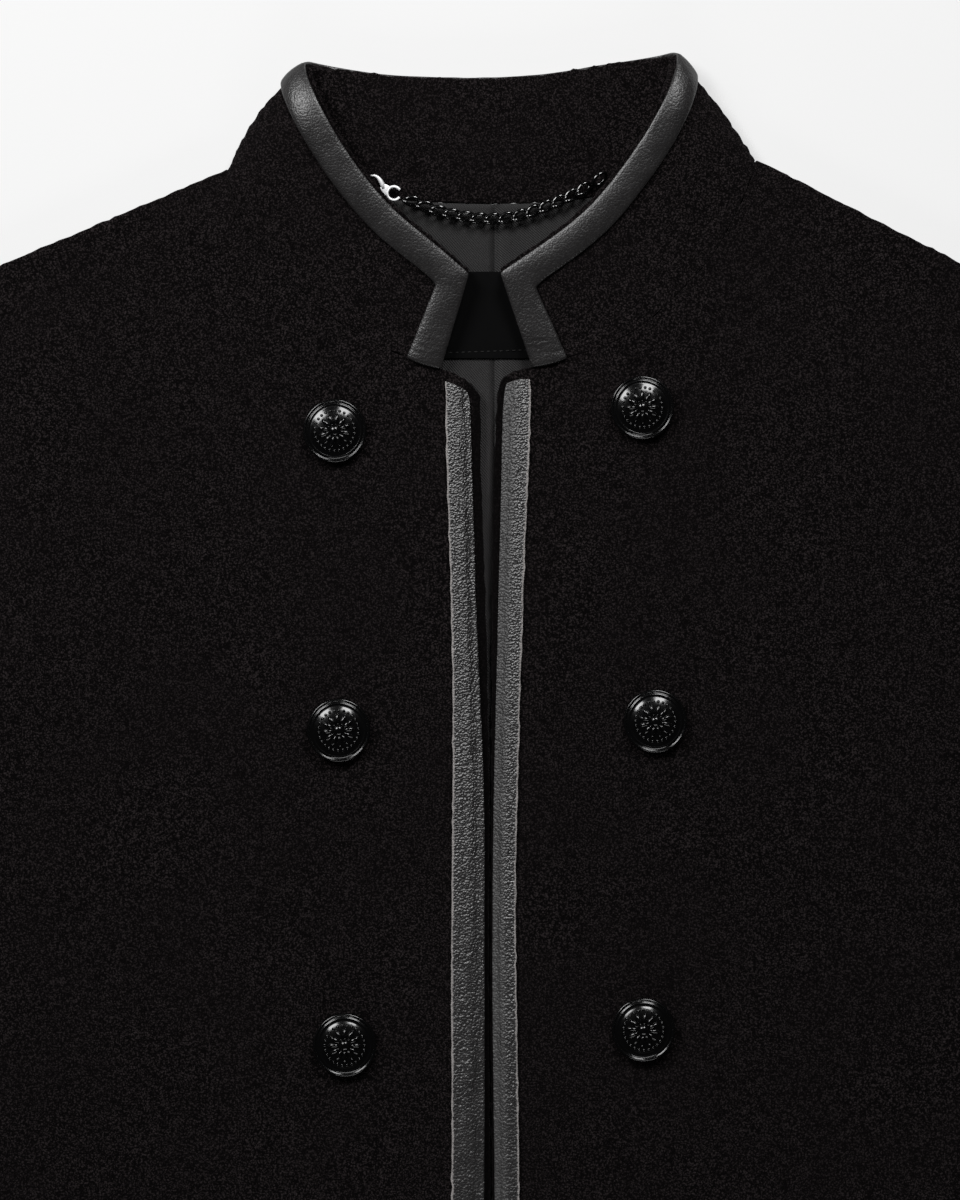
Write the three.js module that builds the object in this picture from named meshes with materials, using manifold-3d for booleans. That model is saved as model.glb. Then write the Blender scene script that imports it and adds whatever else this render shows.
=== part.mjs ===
// A napoleon jacket in black boiled wool, laid flat on its back with the fronts edge to edge.
//
// Millimetres, +Z up. The jacket lies on the plane z = 0 with its collar towards +Y, and the origin
// is under the middle of its outline. Sizes across are taken from the centre line, positive to the
// viewer's right, and sizes down from the back neck seam at the centre back.

import * as THREE from 'three';
import { mergeVertices } from 'three/addons/utils/BufferGeometryUtils.js';
import Module from 'manifold-3d';

const wasm = await Module();
wasm.setup();

// Driving sizes

const SEAM = 0.3;
const WOOL = 2.5;
const COLLAR_WOOL = 2.0;
const COLLAR_FACING = 1.6;
const LEATHER = 1.0;
const LINING = 1.0;
const LABEL_CLOTH = 0.6;

const HEM_DOWN = 578;
const HEM_DROP_AT_CENTRE = 4;
const COLLAR_TOP_DOWN = -53.8;
const MIDDLE_DOWN = (HEM_DOWN + HEM_DROP_AT_CENTRE + COLLAR_TOP_DOWN) / 2;

const CHEST_HALF = 232;
const WAIST_HALF = 224;
const HEM_HALF = 240;
const UNDERARM_DOWN = 208;
const WAIST_DOWN = 360;

const SLEEVE_HEIGHT = 7;
const CUFF = { outerAcross: 508, outerDown: 507, innerAcross: 393, innerDown: 548 };

const COLLAR_TRIM_WIDTH = 10;
const LINING_LEVEL = WOOL + SEAM;
const FRONT_LEVEL = LINING_LEVEL + LINING + SEAM;

const BUTTON = { radius: 11.5, base: 9, rim: 10.7, well: 9.4, height: 5.6 };

// Cells of the panels' grids

const ARMHOLE_STEPS = 9;
const SIDE_STEPS = 15;
const SHOULDER_STEPS = 6;
const SLEEVE_STEPS = 10;
const COLLAR_RISE_STEPS = 4;

// Shoulder points, where the shoulder seam meets the sleeve

const SHOULDER = { left: { across: -203, down: 34 }, right: { across: 203, down: 38 } };

// Sections of the stand collar from the left front end, round the back, to the right front end.
// Each row is one ruling of the collar's outer face, from the neck seam to the top edge: up is its
// height, bulge how far it swells out halfway, and cells how many grid cells lead to the next row.

const COLLAR_SECTIONS = [
  { base: [-17.8, 60.0], baseUp: 8.2, top: [-7.6, 26.4], topUp: 11.0, bulge: 0, cells: 1 },
  { base: [-32.0, 55.2], baseUp: 8.4, top: [-16.5, 18.6], topUp: 11.8, bulge: 0, cells: 1 },
  { base: [-46.0, 49.3], baseUp: 8.8, top: [-24.5, 12.2], topUp: 12.6, bulge: 0, cells: 1 },
  { base: [-58.5, 40.2], baseUp: 9.2, top: [-32.0, 6.2], topUp: 13.4, bulge: 0, cells: 1 },
  { base: [-69.8, 30.0], baseUp: 9.6, top: [-39.5, -1.2], topUp: 14.2, bulge: 0, cells: 1 },
  { base: [-80.1, 18.5], baseUp: 9.9, top: [-47.5, -11.4], topUp: 15.0, bulge: 0, cells: 2 },
  { base: [-87.7, 8.3], baseUp: 10.0, top: [-55.0, -22.6], topUp: 15.7, bulge: 1.0, cells: 2 },
  { base: [-92.3, -3.5], baseUp: 9.5, top: [-62.0, -35.5], topUp: 16.0, bulge: 2.6, cells: 3 },
  { base: [-94.2, -11.8], baseUp: 5.0, top: [-66.6, -49.0], topUp: 9.0, bulge: 3.4, cells: 3 },
  { base: [-87.0, -10.6], baseUp: 0.4, top: [-59.0, -49.2], topUp: 2.6, bulge: 2.0, cells: 2 },
  { base: [-60.0, -5.0], baseUp: 0.0, top: [-40.0, -46.3], topUp: 2.2, bulge: 0, cells: 2 },
  { base: [-30.0, -1.3], baseUp: 0.0, top: [-20.0, -45.1], topUp: 2.2, bulge: 0, cells: 2 },
  { base: [0.0, 0.0], baseUp: 0.0, top: [0.0, -44.9], topUp: 2.2, bulge: 0, cells: 2 },
  { base: [30.0, -1.5], baseUp: 0.0, top: [21.0, -46.2], topUp: 2.2, bulge: 0, cells: 2 },
  { base: [60.0, -6.0], baseUp: 0.0, top: [41.0, -49.5], topUp: 2.2, bulge: 0, cells: 2 },
  { base: [89.0, -13.2], baseUp: 0.4, top: [61.0, -52.4], topUp: 2.6, bulge: 0.6, cells: 3 },
  { base: [97.0, -15.4], baseUp: 5.0, top: [68.6, -52.4], topUp: 9.0, bulge: 1.0, cells: 3 },
  { base: [94.0, -5.5], baseUp: 9.5, top: [65.2, -38.4], topUp: 16.0, bulge: 0.8, cells: 2 },
  { base: [88.5, 6.5], baseUp: 10.0, top: [57.8, -24.4], topUp: 15.7, bulge: 0.4, cells: 2 },
  { base: [80.3, 21.0], baseUp: 9.9, top: [50.0, -12.9], topUp: 15.0, bulge: 0, cells: 1 },
  { base: [71.5, 30.3], baseUp: 9.6, top: [42.0, -2.4], topUp: 14.2, bulge: 0, cells: 1 },
  { base: [61.5, 40.4], baseUp: 9.2, top: [34.5, 5.3], topUp: 13.4, bulge: 0, cells: 1 },
  { base: [49.5, 49.5], baseUp: 8.8, top: [26.0, 12.0], topUp: 12.6, bulge: 0, cells: 1 },
  { base: [33.5, 55.0], baseUp: 8.4, top: [15.9, 18.9], topUp: 11.8, bulge: 0, cells: 1 },
  { base: [16.7, 59.4], baseUp: 8.2, top: [5.1, 26.1], topUp: 11.0, bulge: 0, cells: 0 },
];
const LEFT_FOLD_ROW = 8;
const RIGHT_FOLD_ROW = 16;
const LAST_ROW = COLLAR_SECTIONS.length - 1;
const BACK_ROWS = { first: LEFT_FOLD_ROW + 1, last: RIGHT_FOLD_ROW - 1 };

// The front edges. Each row gives, at one height, how far across lie the raw cut edge of the
// leather strip, its folded edge, and the edge of the wool beyond it.

const FRONT_EDGES = {
  left: [
    { down: 72, raw: -15.4, fold: -6.3, wool: -2.9 },
    { down: 86, raw: -15.2, fold: -6.2, wool: -3.4 },
    { down: 108, raw: -14.7, fold: -5.4, wool: -2.5 },
    { down: 130, raw: -13.9, fold: -4.7, wool: -1.6 },
    { down: 160, raw: -13.0, fold: -3.9, wool: -0.7 },
    { down: 200, raw: -12.6, fold: -3.6, wool: 0.1 },
    { down: 240, raw: -13.2, fold: -4.1, wool: 0.2 },
    { down: 290, raw: -13.4, fold: -4.0, wool: -0.3 },
    { down: 325, raw: -13.1, fold: -4.0, wool: 0.3 },
    { down: 360, raw: -13.2, fold: -4.2, wool: 0.6 },
    { down: HEM_DOWN, raw: -13.6, fold: -4.4, wool: -0.6 },
  ],
  right: [
    { down: 72, raw: 15.6, fold: 5.3, wool: 3.6 },
    { down: 86, raw: 15.6, fold: 5.1, wool: 2.2 },
    { down: 108, raw: 14.1, fold: 4.7, wool: 2.0 },
    { down: 130, raw: 13.2, fold: 4.0, wool: 1.8 },
    { down: 160, raw: 12.2, fold: 3.4, wool: 1.6 },
    { down: 200, raw: 11.1, fold: 2.6, wool: 1.5 },
    { down: 240, raw: 10.0, fold: 2.1, wool: 1.2 },
    { down: 290, raw: 10.2, fold: 1.9, wool: 0.9 },
    { down: 325, raw: 11.1, fold: 2.4, wool: 1.4 },
    { down: 360, raw: 11.3, fold: 2.8, wool: 1.8 },
    { down: HEM_DOWN, raw: 12.0, fold: 4.0, wool: 2.4 },
  ],
};

// The two top rows of each front edge, cut off at an angle below the collar's end: the first is the
// wool's cut, the second the top of the leather strip. Columns as above, with the strip's middle.

const FRONT_TOPS = {
  left: [
    { raw: [-17.8, 60.6], middle: [-13.0, 61.6], fold: [-8.2, 64.6], wool: [-4.7, 67.6] },
    { raw: [-15.6, 64.9], middle: [-11.6, 66.2], fold: [-7.3, 68.4], wool: [-3.3, 70.2] },
  ],
  right: [
    { raw: [16.9, 60.0], middle: [12.0, 60.8], fold: [8.0, 62.0], wool: [4.8, 64.6] },
    { raw: [15.5, 64.3], middle: [11.0, 64.0], fold: [6.6, 65.8], wool: [4.0, 68.2] },
  ],
};

const BUTTON_PLACES = [
  { name: 'button_left_1', across: -55.4, down: 83.0, side: 'left' },
  { name: 'button_left_2', across: -54.0, down: 191.3, side: 'left' },
  { name: 'button_left_3', across: -51.8, down: 305.1, side: 'left' },
  { name: 'button_left_4', across: -50.6, down: 417.0, side: 'left' },
  { name: 'button_right_1', across: 55.8, down: 74.6, side: 'right' },
  { name: 'button_right_2', across: 60.5, down: 188.0, side: 'right' },
  { name: 'button_right_3', across: 56.2, down: 299.6, side: 'right' },
  { name: 'button_right_4', across: 54.4, down: 411.0, side: 'right' },
];

// Half widths of the lining, which ends under the fronts

const LINING_HALVES = [
  { down: 20, half: 52 },
  { down: 42, half: 38 },
  { down: 60, half: 25 },
  { down: 120, half: 22 },
  { down: HEM_DOWN - 12, half: 22 },
];
const LINING_TOP_HALF = 60;
const LINING_SEAM_ACROSS = 2.4;
const LABEL = { left: -30, right: 34, top: 25, bottom: 56.5 };

const CHAIN_ROUTE = [
  { across: -27.6, down: -0.4, up: 6.5 },
  { across: -18.8, down: 2.9, up: 6.3 },
  { across: -9.1, down: 5.1, up: 6.1 },
  { across: 1.1, down: 6.0, up: 6.0 },
  { across: 10.5, down: 5.0, up: 6.1 },
  { across: 21.4, down: 1.4, up: 6.3 },
  { across: 28.6, down: -1.6, up: 6.6 },
  { across: 34.6, down: -4.7, up: 6.8 },
];
const CHAIN = { pitch: 5, radius: 2.3, wire: 0.8, stretch: 1.35, tilt: 0.42 };
const CLASP = { ring: { across: -34.4, down: -3.4, up: 6.4 }, radius: 2.1, wire: 0.7 };
const CLASP_HOOK = [
  { across: -36.2, down: -4.4 },
  { across: -37.6, down: -6.4 },
  { across: -38.2, down: -8.6 },
  { across: -39.6, down: -10.2 },
  { across: -41.4, down: -9.8 },
];
const CHAIN_END = { across: 40.9, down: -8.2, up: 6.9, radius: 2.0, wire: 0.7 };

// Materials

function cloth(colour, roughness) {
  return new THREE.MeshStandardMaterial({ color: colour, roughness, metalness: 0 });
}

const boiledWool = () => cloth(0x131112, 0.97);
const leather = () => cloth(0x262425, 0.42);
const twill = () => cloth(0x262425, 0.7);
const satin = () => cloth(0x060606, 0.5);
const blackMetal = () => new THREE.MeshStandardMaterial({ color: 0x0b0b0c, roughness: 0.2, metalness: 0.9 });
const steel = () => new THREE.MeshStandardMaterial({ color: 0xd6d6d6, roughness: 0.2, metalness: 1 });

// Small maths

const lerp = THREE.MathUtils.lerp;
const smoothstep = THREE.MathUtils.smoothstep;

function place(across, down, up = 0) {
  return new THREE.Vector3(across, MIDDLE_DOWN - down, up);
}

function planDistance(a, b) {
  return Math.hypot(a.x - b.x, a.y - b.y);
}

function nearest(point, line) {
  let best = { distance: Infinity, up: 0 };
  for (let i = 0; i + 1 < line.length; i += 1) {
    const [a, b] = [line[i], line[i + 1]];
    const [dx, dy] = [b.x - a.x, b.y - a.y];
    const along = ((point.x - a.x) * dx + (point.y - a.y) * dy) / (dx * dx + dy * dy);
    const t = THREE.MathUtils.clamp(along, 0, 1);
    const distance = Math.hypot(point.x - a.x - t * dx, point.y - a.y - t * dy);
    if (distance < best.distance) {
      best = { distance, up: lerp(a.z, b.z, t) };
    }
  }
  return best;
}

function fromTable(table, down, column) {
  const last = table.length - 1;
  for (let i = 0; i < last; i += 1) {
    if (down <= table[i + 1].down || i === last - 1) {
      const t = (down - table[i].down) / (table[i + 1].down - table[i].down);
      return lerp(table[i][column], table[i + 1][column], THREE.MathUtils.clamp(t, 0, 1));
    }
  }
  return table[last][column];
}

// The points of a curve at equal steps of its length

function stepped(curve, steps) {
  return Array.from({ length: steps + 1 }, (_, i) => curve.getPointAt(i / steps));
}

function smoothCurve(points) {
  return new THREE.CatmullRomCurve3(points, false, 'centripetal');
}

// A grid that fills four boundary lines, the top and bottom with one count of points and the two
// sides with another

function filled(top, bottom, start, end) {
  const [columns, rows] = [top.length - 1, start.length - 1];
  const corner = (u, v) => {
    const upper = top[0].clone().lerp(top[columns], u);
    return upper.lerp(bottom[0].clone().lerp(bottom[columns], u), v);
  };
  return start.map((_, r) => top.map((__, c) => {
    const [u, v] = [c / columns, r / rows];
    return top[c].clone().lerp(bottom[c], v)
      .add(start[r].clone().lerp(end[r], u))
      .sub(corner(u, v));
  }));
}

// Solids

function solidOf(points, triangles) {
  let geometry = new THREE.BufferGeometry();
  geometry.setAttribute('position', new THREE.Float32BufferAttribute(points.flatMap((p) => p.toArray()), 3));
  let volume = 0;
  for (const [a, b, c] of triangles) {
    volume += points[a].dot(points[b].clone().cross(points[c]));
  }
  const facing = volume > 0 ? triangles : triangles.map(([a, b, c]) => [a, c, b]);
  geometry.setIndex(facing.flat());
  geometry = mergeVertices(geometry, 1e-4);
  geometry.computeVertexNormals();
  return geometry;
}

// A closed wall between an upper and a lower grid of points

function wall(upper, lower) {
  const [rows, columns] = [upper.length, upper[0].length];
  const points = [...upper.flat(), ...lower.flat()];
  const top = (r, c) => r * columns + c;
  const under = (r, c) => rows * columns + top(r, c);
  const triangles = [];
  const quad = (a, b, c, d) => triangles.push([a, b, c], [a, c, d]);
  for (let r = 0; r + 1 < rows; r += 1) {
    for (let c = 0; c + 1 < columns; c += 1) {
      quad(top(r, c), top(r + 1, c), top(r + 1, c + 1), top(r, c + 1));
      quad(under(r, c), under(r, c + 1), under(r + 1, c + 1), under(r + 1, c));
    }
    quad(top(r, 0), under(r, 0), under(r + 1, 0), top(r + 1, 0));
    quad(top(r + 1, columns - 1), under(r + 1, columns - 1), under(r, columns - 1), top(r, columns - 1));
  }
  for (let c = 0; c + 1 < columns; c += 1) {
    quad(top(0, c + 1), under(0, c + 1), under(0, c), top(0, c));
    quad(top(rows - 1, c), under(rows - 1, c), under(rows - 1, c + 1), top(rows - 1, c + 1));
  }
  return solidOf(points, triangles);
}

// A closed wall between an outer and an inner tube, each a list of rings, open at both ends

function tubeWall(outer, inner) {
  const [rows, around] = [outer.length, outer[0].length];
  const points = [...outer.flat(), ...inner.flat()];
  const out = (r, k) => r * around + (k % around);
  const within = (r, k) => rows * around + out(r, k);
  const triangles = [];
  const quad = (a, b, c, d) => triangles.push([a, b, c], [a, c, d]);
  for (let k = 0; k < around; k += 1) {
    for (let r = 0; r + 1 < rows; r += 1) {
      quad(out(r, k), out(r, k + 1), out(r + 1, k + 1), out(r + 1, k));
      quad(within(r, k), within(r + 1, k), within(r + 1, k + 1), within(r, k + 1));
    }
    quad(out(0, k + 1), out(0, k), within(0, k), within(0, k + 1));
    quad(out(rows - 1, k), out(rows - 1, k + 1), within(rows - 1, k + 1), within(rows - 1, k));
  }
  return solidOf(points, triangles);
}

// A flat piece of cloth with the outline given, lying at a height

function plate(outline, level, thickness) {
  const shape = new THREE.Shape(outline.map((p) => new THREE.Vector2(p.x, p.y)));
  const geometry = new THREE.ExtrudeGeometry(shape, { depth: thickness, bevelEnabled: false });
  geometry.translate(0, 0, level);
  return geometry;
}

function lifted(grid, rise) {
  return grid.map((row) => row.map((p) => p.clone().setZ(p.z + rise)));
}

// Several closed solids that touch, joined into one

function joined(geometries) {
  const solids = geometries.map((source) => {
    const bare = source.clone();
    bare.deleteAttribute('normal');
    bare.deleteAttribute('uv');
    const merged = mergeVertices(bare, 1e-4);
    return new wasm.Manifold(new wasm.Mesh({
      numProp: 3,
      vertProperties: new Float32Array(merged.attributes.position.array),
      triVerts: new Uint32Array(merged.index.array),
    }));
  });
  const whole = solids.reduce((sum, solid) => sum.add(solid)).getMesh();
  const geometry = new THREE.BufferGeometry();
  geometry.setAttribute('position', new THREE.BufferAttribute(new Float32Array(whole.vertProperties), 3));
  geometry.setIndex(new THREE.BufferAttribute(new Uint32Array(whole.triVerts), 1));
  geometry.computeVertexNormals();
  return geometry;
}

// Stand collar: a ruled face from the neck seam to the top edge, rolled over at both side folds

const baseCurve = smoothCurve(COLLAR_SECTIONS.map((s) => place(...s.base, s.baseUp)));
const topCurve = smoothCurve(COLLAR_SECTIONS.map((s) => place(...s.top, s.topUp)));

function collarFace(row, rise) {
  const t = THREE.MathUtils.clamp(row / LAST_ROW, 0, 1);
  const before = Math.min(Math.floor(row), LAST_ROW - 1);
  const bulge = lerp(COLLAR_SECTIONS[before].bulge, COLLAR_SECTIONS[before + 1].bulge, row - before);
  const point = baseCurve.getPoint(t).lerp(topCurve.getPoint(t), rise);
  const side = Math.sign(point.x);
  const swell = 4 * bulge * rise * (1 - rise);
  point.add(new THREE.Vector3(0.8 * side * swell, 0.6 * swell, 0));
  return point.setZ(Math.max(point.z, 0));
}

function collarOutward(row, rise) {
  const step = 0.02;
  const [r, h] = [THREE.MathUtils.clamp(row, step, LAST_ROW - step), THREE.MathUtils.clamp(rise, step, 1 - step)];
  const around = collarFace(r + step, h).sub(collarFace(r - step, h));
  const upward = collarFace(r, h + step).sub(collarFace(r, h - step));
  return upward.cross(around).normalize();
}

function collarPoint(row, rise, outward) {
  return collarFace(row, rise).addScaledVector(collarOutward(row, rise), outward);
}

const collarHeight = (row) => collarFace(row, 0).distanceTo(collarFace(row, 1));

const COLLAR_ROWS = COLLAR_SECTIONS.flatMap((section, i) => (
  Array.from({ length: section.cells }, (_, k) => i + k / section.cells)
)).concat(LAST_ROW);

// A wall on the collar, between two distances out from its face: span gives the lowest and highest
// share of the collar's height that it covers at a row

function onCollar(outer, inner, steps, span) {
  const layer = (outward) => COLLAR_ROWS.map((row) => {
    const [low, high] = span(row);
    return Array.from({ length: steps + 1 }, (_, k) => collarPoint(row, lerp(low, high, k / steps), outward));
  });
  return wall(layer(outer), layer(inner));
}

// The facing is whole at the back and a band under the top edge elsewhere

function facingSpan(row) {
  const intoBack = Math.min(row - LEFT_FOLD_ROW, RIGHT_FOLD_ROW - row);
  const front = 1 - smoothstep(intoBack, 0, 1);
  return [0.5 * front, 1 + 1.6 * front / collarHeight(row)];
}

// The leather binding runs up one front end, round the top edge and down the other end

function collarTrim() {
  const endWidth = (row, next, rise) => (
    (COLLAR_TRIM_WIDTH + 1) / collarFace(row, rise).distanceTo(collarFace(next, rise))
  );
  const lowEdge = (row) => 1 - COLLAR_TRIM_WIDTH / collarHeight(row);
  const ends = { left: endWidth(0, 1, 0.4), right: endWidth(LAST_ROW, LAST_ROW - 1, 0.4) };
  const stations = [];
  for (let k = 0; k < COLLAR_RISE_STEPS; k += 1) {
    const rise = k / COLLAR_RISE_STEPS;
    stations.push({ edge: [0, rise], inside: [ends.left, rise * lowEdge(0)] });
  }
  for (const row of COLLAR_ROWS) {
    const fromEnd = Math.min(row, LAST_ROW - row, 1);
    const shift = (row < LEFT_FOLD_ROW ? ends.left : -ends.right) * (1 - fromEnd);
    stations.push({ edge: [row, 1], inside: [row + shift, lowEdge(row)] });
  }
  for (let k = COLLAR_RISE_STEPS - 1; k >= 0; k -= 1) {
    const rise = k / COLLAR_RISE_STEPS;
    stations.push({ edge: [LAST_ROW, rise], inside: [LAST_ROW - ends.right, rise * lowEdge(LAST_ROW)] });
  }
  const layer = (outward) => stations.map(({ edge, inside }) => (
    [0, 0.5, 1].map((t) => collarPoint(lerp(edge[0], inside[0], t), lerp(edge[1], inside[1], t), outward))
  ));
  return wall(layer(SEAM + LEATHER), layer(SEAM));
}

// Outlines of the body panels

function armhole(side) {
  const { across, down } = SHOULDER[side];
  const out = Math.sign(across);
  const curve = new THREE.CubicBezierCurve3(
    place(across, down),
    place(out * 180, down + 61),
    place(out * 203, UNDERARM_DOWN - 56),
    place(out * CHEST_HALF, UNDERARM_DOWN),
  );
  return stepped(curve, ARMHOLE_STEPS);
}

function sideSeam(side) {
  const out = side === 'left' ? -1 : 1;
  const curve = smoothCurve([
    place(out * CHEST_HALF, UNDERARM_DOWN),
    place(out * WAIST_HALF, WAIST_DOWN),
    place(out * HEM_HALF, HEM_DOWN),
  ]);
  return stepped(curve, SIDE_STEPS);
}

function border(side) {
  return [...armhole(side), ...sideSeam(side).slice(1)];
}

// A line of points moved sideways in plan, away from a centre, so that a seam's two sides are apart

const NECK_CENTRE = place(0, -25);
const BODY_CENTRE = place(0, 330);

function movedClear(points, centre) {
  const last = points.length - 1;
  return points.map((here, i) => {
    const [behind, ahead] = [points[Math.max(i - 1, 0)], points[Math.min(i + 1, last)]];
    const away = new THREE.Vector3(ahead.y - behind.y, behind.x - ahead.x, 0).normalize();
    if (away.dot(here.clone().sub(centre)) < 0) {
      away.negate();
    }
    return here.clone().addScaledVector(away, SEAM + 0.1);
  });
}

// The neck seam, clear of the collar, from one row of the collar to another

function neckSeam(firstRow, lastRow) {
  const rows = COLLAR_ROWS.filter((row) => row >= firstRow && row <= lastRow);
  return movedClear(rows.map((row) => collarFace(row, 0)), NECK_CENTRE);
}

function hemLine(fromAcross, toAcross, steps) {
  return Array.from({ length: steps + 1 }, (_, i) => {
    const across = lerp(fromAcross, toAcross, i / steps);
    const level = 1 - (across / HEM_HALF) ** 2;
    return place(across, HEM_DOWN + HEM_DROP_AT_CENTRE * level);
  });
}

// Fronts. The body of a front fills its outline up to the raw edge of the leather strip, and three
// more columns of points carry on under the strip to the wool's edge.

function frontGrid(side) {
  const out = side === 'left' ? -1 : 1;
  const neck = side === 'left' ? neckSeam(0, LEFT_FOLD_ROW).reverse() : neckSeam(RIGHT_FOLD_ROW, LAST_ROW);
  const outside = border(side);
  const rows = outside.length;
  const edges = FRONT_EDGES[side];
  const tops = FRONT_TOPS[side];
  const firstDown = edges[0].down;
  const downAt = (r) => lerp(firstDown, HEM_DOWN, ((r - tops.length) / (rows - 1 - tops.length)));
  const level = (across, down) => (
    down + HEM_DROP_AT_CENTRE * smoothstep(down, HEM_DOWN - 150, HEM_DOWN) * (1 - (across / HEM_HALF) ** 2)
  );
  const band = outside.map((_, r) => {
    if (r < tops.length) {
      const top = tops[r];
      return [top.raw, top.middle, top.fold, top.wool].map(([across, down]) => place(across, down));
    }
    const down = downAt(r);
    const [raw, fold, wool] = ['raw', 'fold', 'wool'].map((column) => fromTable(edges, down, column));
    return [raw, (raw + fold) / 2, fold, wool].map((across) => place(across, level(across, down)));
  });
  const shoulder = Array.from({ length: SHOULDER_STEPS }, (_, i) => (
    outside[0].clone().lerp(neck[0].clone().setZ(0), i / SHOULDER_STEPS)
  ));
  const seam = [...shoulder, ...neck.map((p) => p.clone().setZ(0))];
  seam[seam.length - 1] = band[0][0].clone();
  const hem = hemLine(out * HEM_HALF, band[rows - 1][0].x, seam.length - 1);
  const body = filled(seam, hem, outside, band.map((row) => row[0]));
  const grid = body.map((row, r) => [...row, ...band[r].slice(1)]);
  const lines = { neck, outside: [...shoulder].reverse().concat(outside), edge: band.map((row) => row[3]) };
  const heightAt = frontHeight(lines);
  return { grid: grid.map((row) => row.map((p) => p.clone().setZ(heightAt(p)))), heightAt, band: 4 };
}

// Height of a front's underside: against the back at its outline, over the lining beside the front
// edge, where it rolls down, and up to the collar at the neck seam

function frontHeight({ neck, outside, edge }) {
  const roll = { rise: 2.0, width: 10, fades: [25, 110] };
  const crown = { rise: 1.2, width: 45 };
  const neckBlend = 34;
  return (point) => {
    const toNeck = nearest(point, neck);
    const toEdge = nearest(point, edge).distance;
    const toOutside = nearest(point, outside).distance;
    const round = Math.sqrt(1 - (1 - Math.min(toEdge / roll.width, 1)) ** 2);
    const beside = (FRONT_LEVEL - LINING_LEVEL + roll.rise * round) * (1 - smoothstep(toEdge, ...roll.fades));
    const flat = LINING_LEVEL + beside + crown.rise * smoothstep(toOutside, 0, crown.width);
    const atNeck = Math.max(toNeck.up - WOOL, LINING_LEVEL);
    const near = 1 - smoothstep(toNeck.distance, 0, neckBlend);
    return lerp(flat, atNeck, near);
  };
}

const FRONTS = { left: frontGrid('left'), right: frontGrid('right') };

function front(side) {
  const { grid } = FRONTS[side];
  return wall(lifted(grid, WOOL), grid);
}

function frontStrip(side) {
  const { grid, band } = FRONTS[side];
  const under = grid.slice(1).map((row) => row.slice(-band, -1));
  return wall(lifted(under, WOOL + SEAM + LEATHER), lifted(under, WOOL + SEAM));
}

function back() {
  const outline = [
    ...neckSeam(LEFT_FOLD_ROW, RIGHT_FOLD_ROW),
    ...border('right'),
    ...hemLine(HEM_HALF, -HEM_HALF, 24).slice(1),
    ...border('left').reverse().slice(1),
  ];
  return plate(outline, 0, WOOL);
}

// Sleeves: flattened tubes from the armhole to the cuff

function sleeve(side) {
  const out = side === 'left' ? -1 : 1;
  const head = movedClear(armhole(side), BODY_CENTRE);
  const { across, down } = SHOULDER[side];
  const outerLine = smoothCurve([
    head[0],
    place(out * 262, lerp(down, 100, 0.48)),
    place(out * 330, 103),
    place(out * 382, 160),
    place(out * 420, 258),
    place(out * 462, 376),
    place(out * CUFF.outerAcross, CUFF.outerDown),
  ]);
  const innerLine = smoothCurve([
    head[ARMHOLE_STEPS],
    place(out * 264, 266),
    place(out * 320, 392),
    place(out * CUFF.innerAcross, CUFF.innerDown),
  ]);
  const cuff = Array.from({ length: ARMHOLE_STEPS + 1 }, (_, i) => (
    place(out * CUFF.outerAcross, CUFF.outerDown)
      .lerp(place(out * CUFF.innerAcross, CUFF.innerDown), i / ARMHOLE_STEPS)
  ));
  const plan = filled(head, cuff, stepped(outerLine, SLEEVE_STEPS), stepped(innerLine, SLEEVE_STEPS));
  return tubeWall(plan.map((row) => flatRing(row, 0)), plan.map((row) => flatRing(row, WOOL)));
}

// A flattened ring through a row of plan points, drawn in from the full section by an inset

function flatRing(row, inset) {
  const half = SLEEVE_HEIGHT / 2 - inset;
  const last = row.length - 1;
  const inward = (i, j) => row[j].clone().sub(row[i]).setZ(0).normalize();
  const arc = (i, j, angles) => angles.map((angle) => (
    row[i].clone()
      .addScaledVector(inward(i, j), inset + half * (1 - Math.cos(angle)))
      .setZ(SLEEVE_HEIGHT / 2 + half * Math.sin(angle))
  ));
  const flat = (up) => row.slice(1, last).map((p) => p.clone().setZ(up));
  const turn = [Math.PI / 2.2, Math.PI / 4, 0, -Math.PI / 4, -Math.PI / 2.2];
  return [
    ...flat(SLEEVE_HEIGHT - inset),
    ...arc(last, last - 1, turn),
    ...flat(inset).reverse(),
    ...arc(0, 1, [...turn].reverse()),
  ];
}

// Lining, in two halves with the seam a little right of the centre line, and the label on it

function lining(side) {
  const out = side === 'left' ? -1 : 1;
  const seam = LINING_SEAM_ACROSS + out * SEAM / 2;
  const top = neckSeam(BACK_ROWS.first, BACK_ROWS.last)
    .filter((p) => out * (p.x - seam) > 1 && Math.abs(p.x) <= LINING_TOP_HALF + 1)
    .sort((a, b) => out * (a.x - b.x));
  const outer = LINING_HALVES.map((row) => place(out * row.half, row.down));
  const seamTop = place(seam, 0.4);
  const seamFoot = place(seam, HEM_DOWN - 12);
  return plate([seamTop, ...top, ...outer, seamFoot], LINING_LEVEL, LINING);
}

function label() {
  const outline = [
    place(LABEL.left, LABEL.bottom),
    place(LABEL.right, LABEL.bottom),
    place(LABEL.right, LABEL.top),
    place(LABEL.left, LABEL.top),
  ];
  return plate(outline, LINING_LEVEL + LINING + SEAM, LABEL_CLOTH);
}

// Buttons: a domed face inside a raised rim

function button() {
  const { radius, base, rim, well, height } = BUTTON;
  const profile = [
    [0, 0],
    [base, 0],
    [radius - 0.3, 1.2],
    [radius, 2.2],
    [rim, 3.2],
    [well, 2.6],
    [6.6, 4.4],
    [3.4, 5.3],
    [0, height],
  ];
  const lathe = new THREE.LatheGeometry(profile.map(([x, y]) => new THREE.Vector2(x, y)), 20);
  return lathe.rotateX(Math.PI / 2);
}

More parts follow.
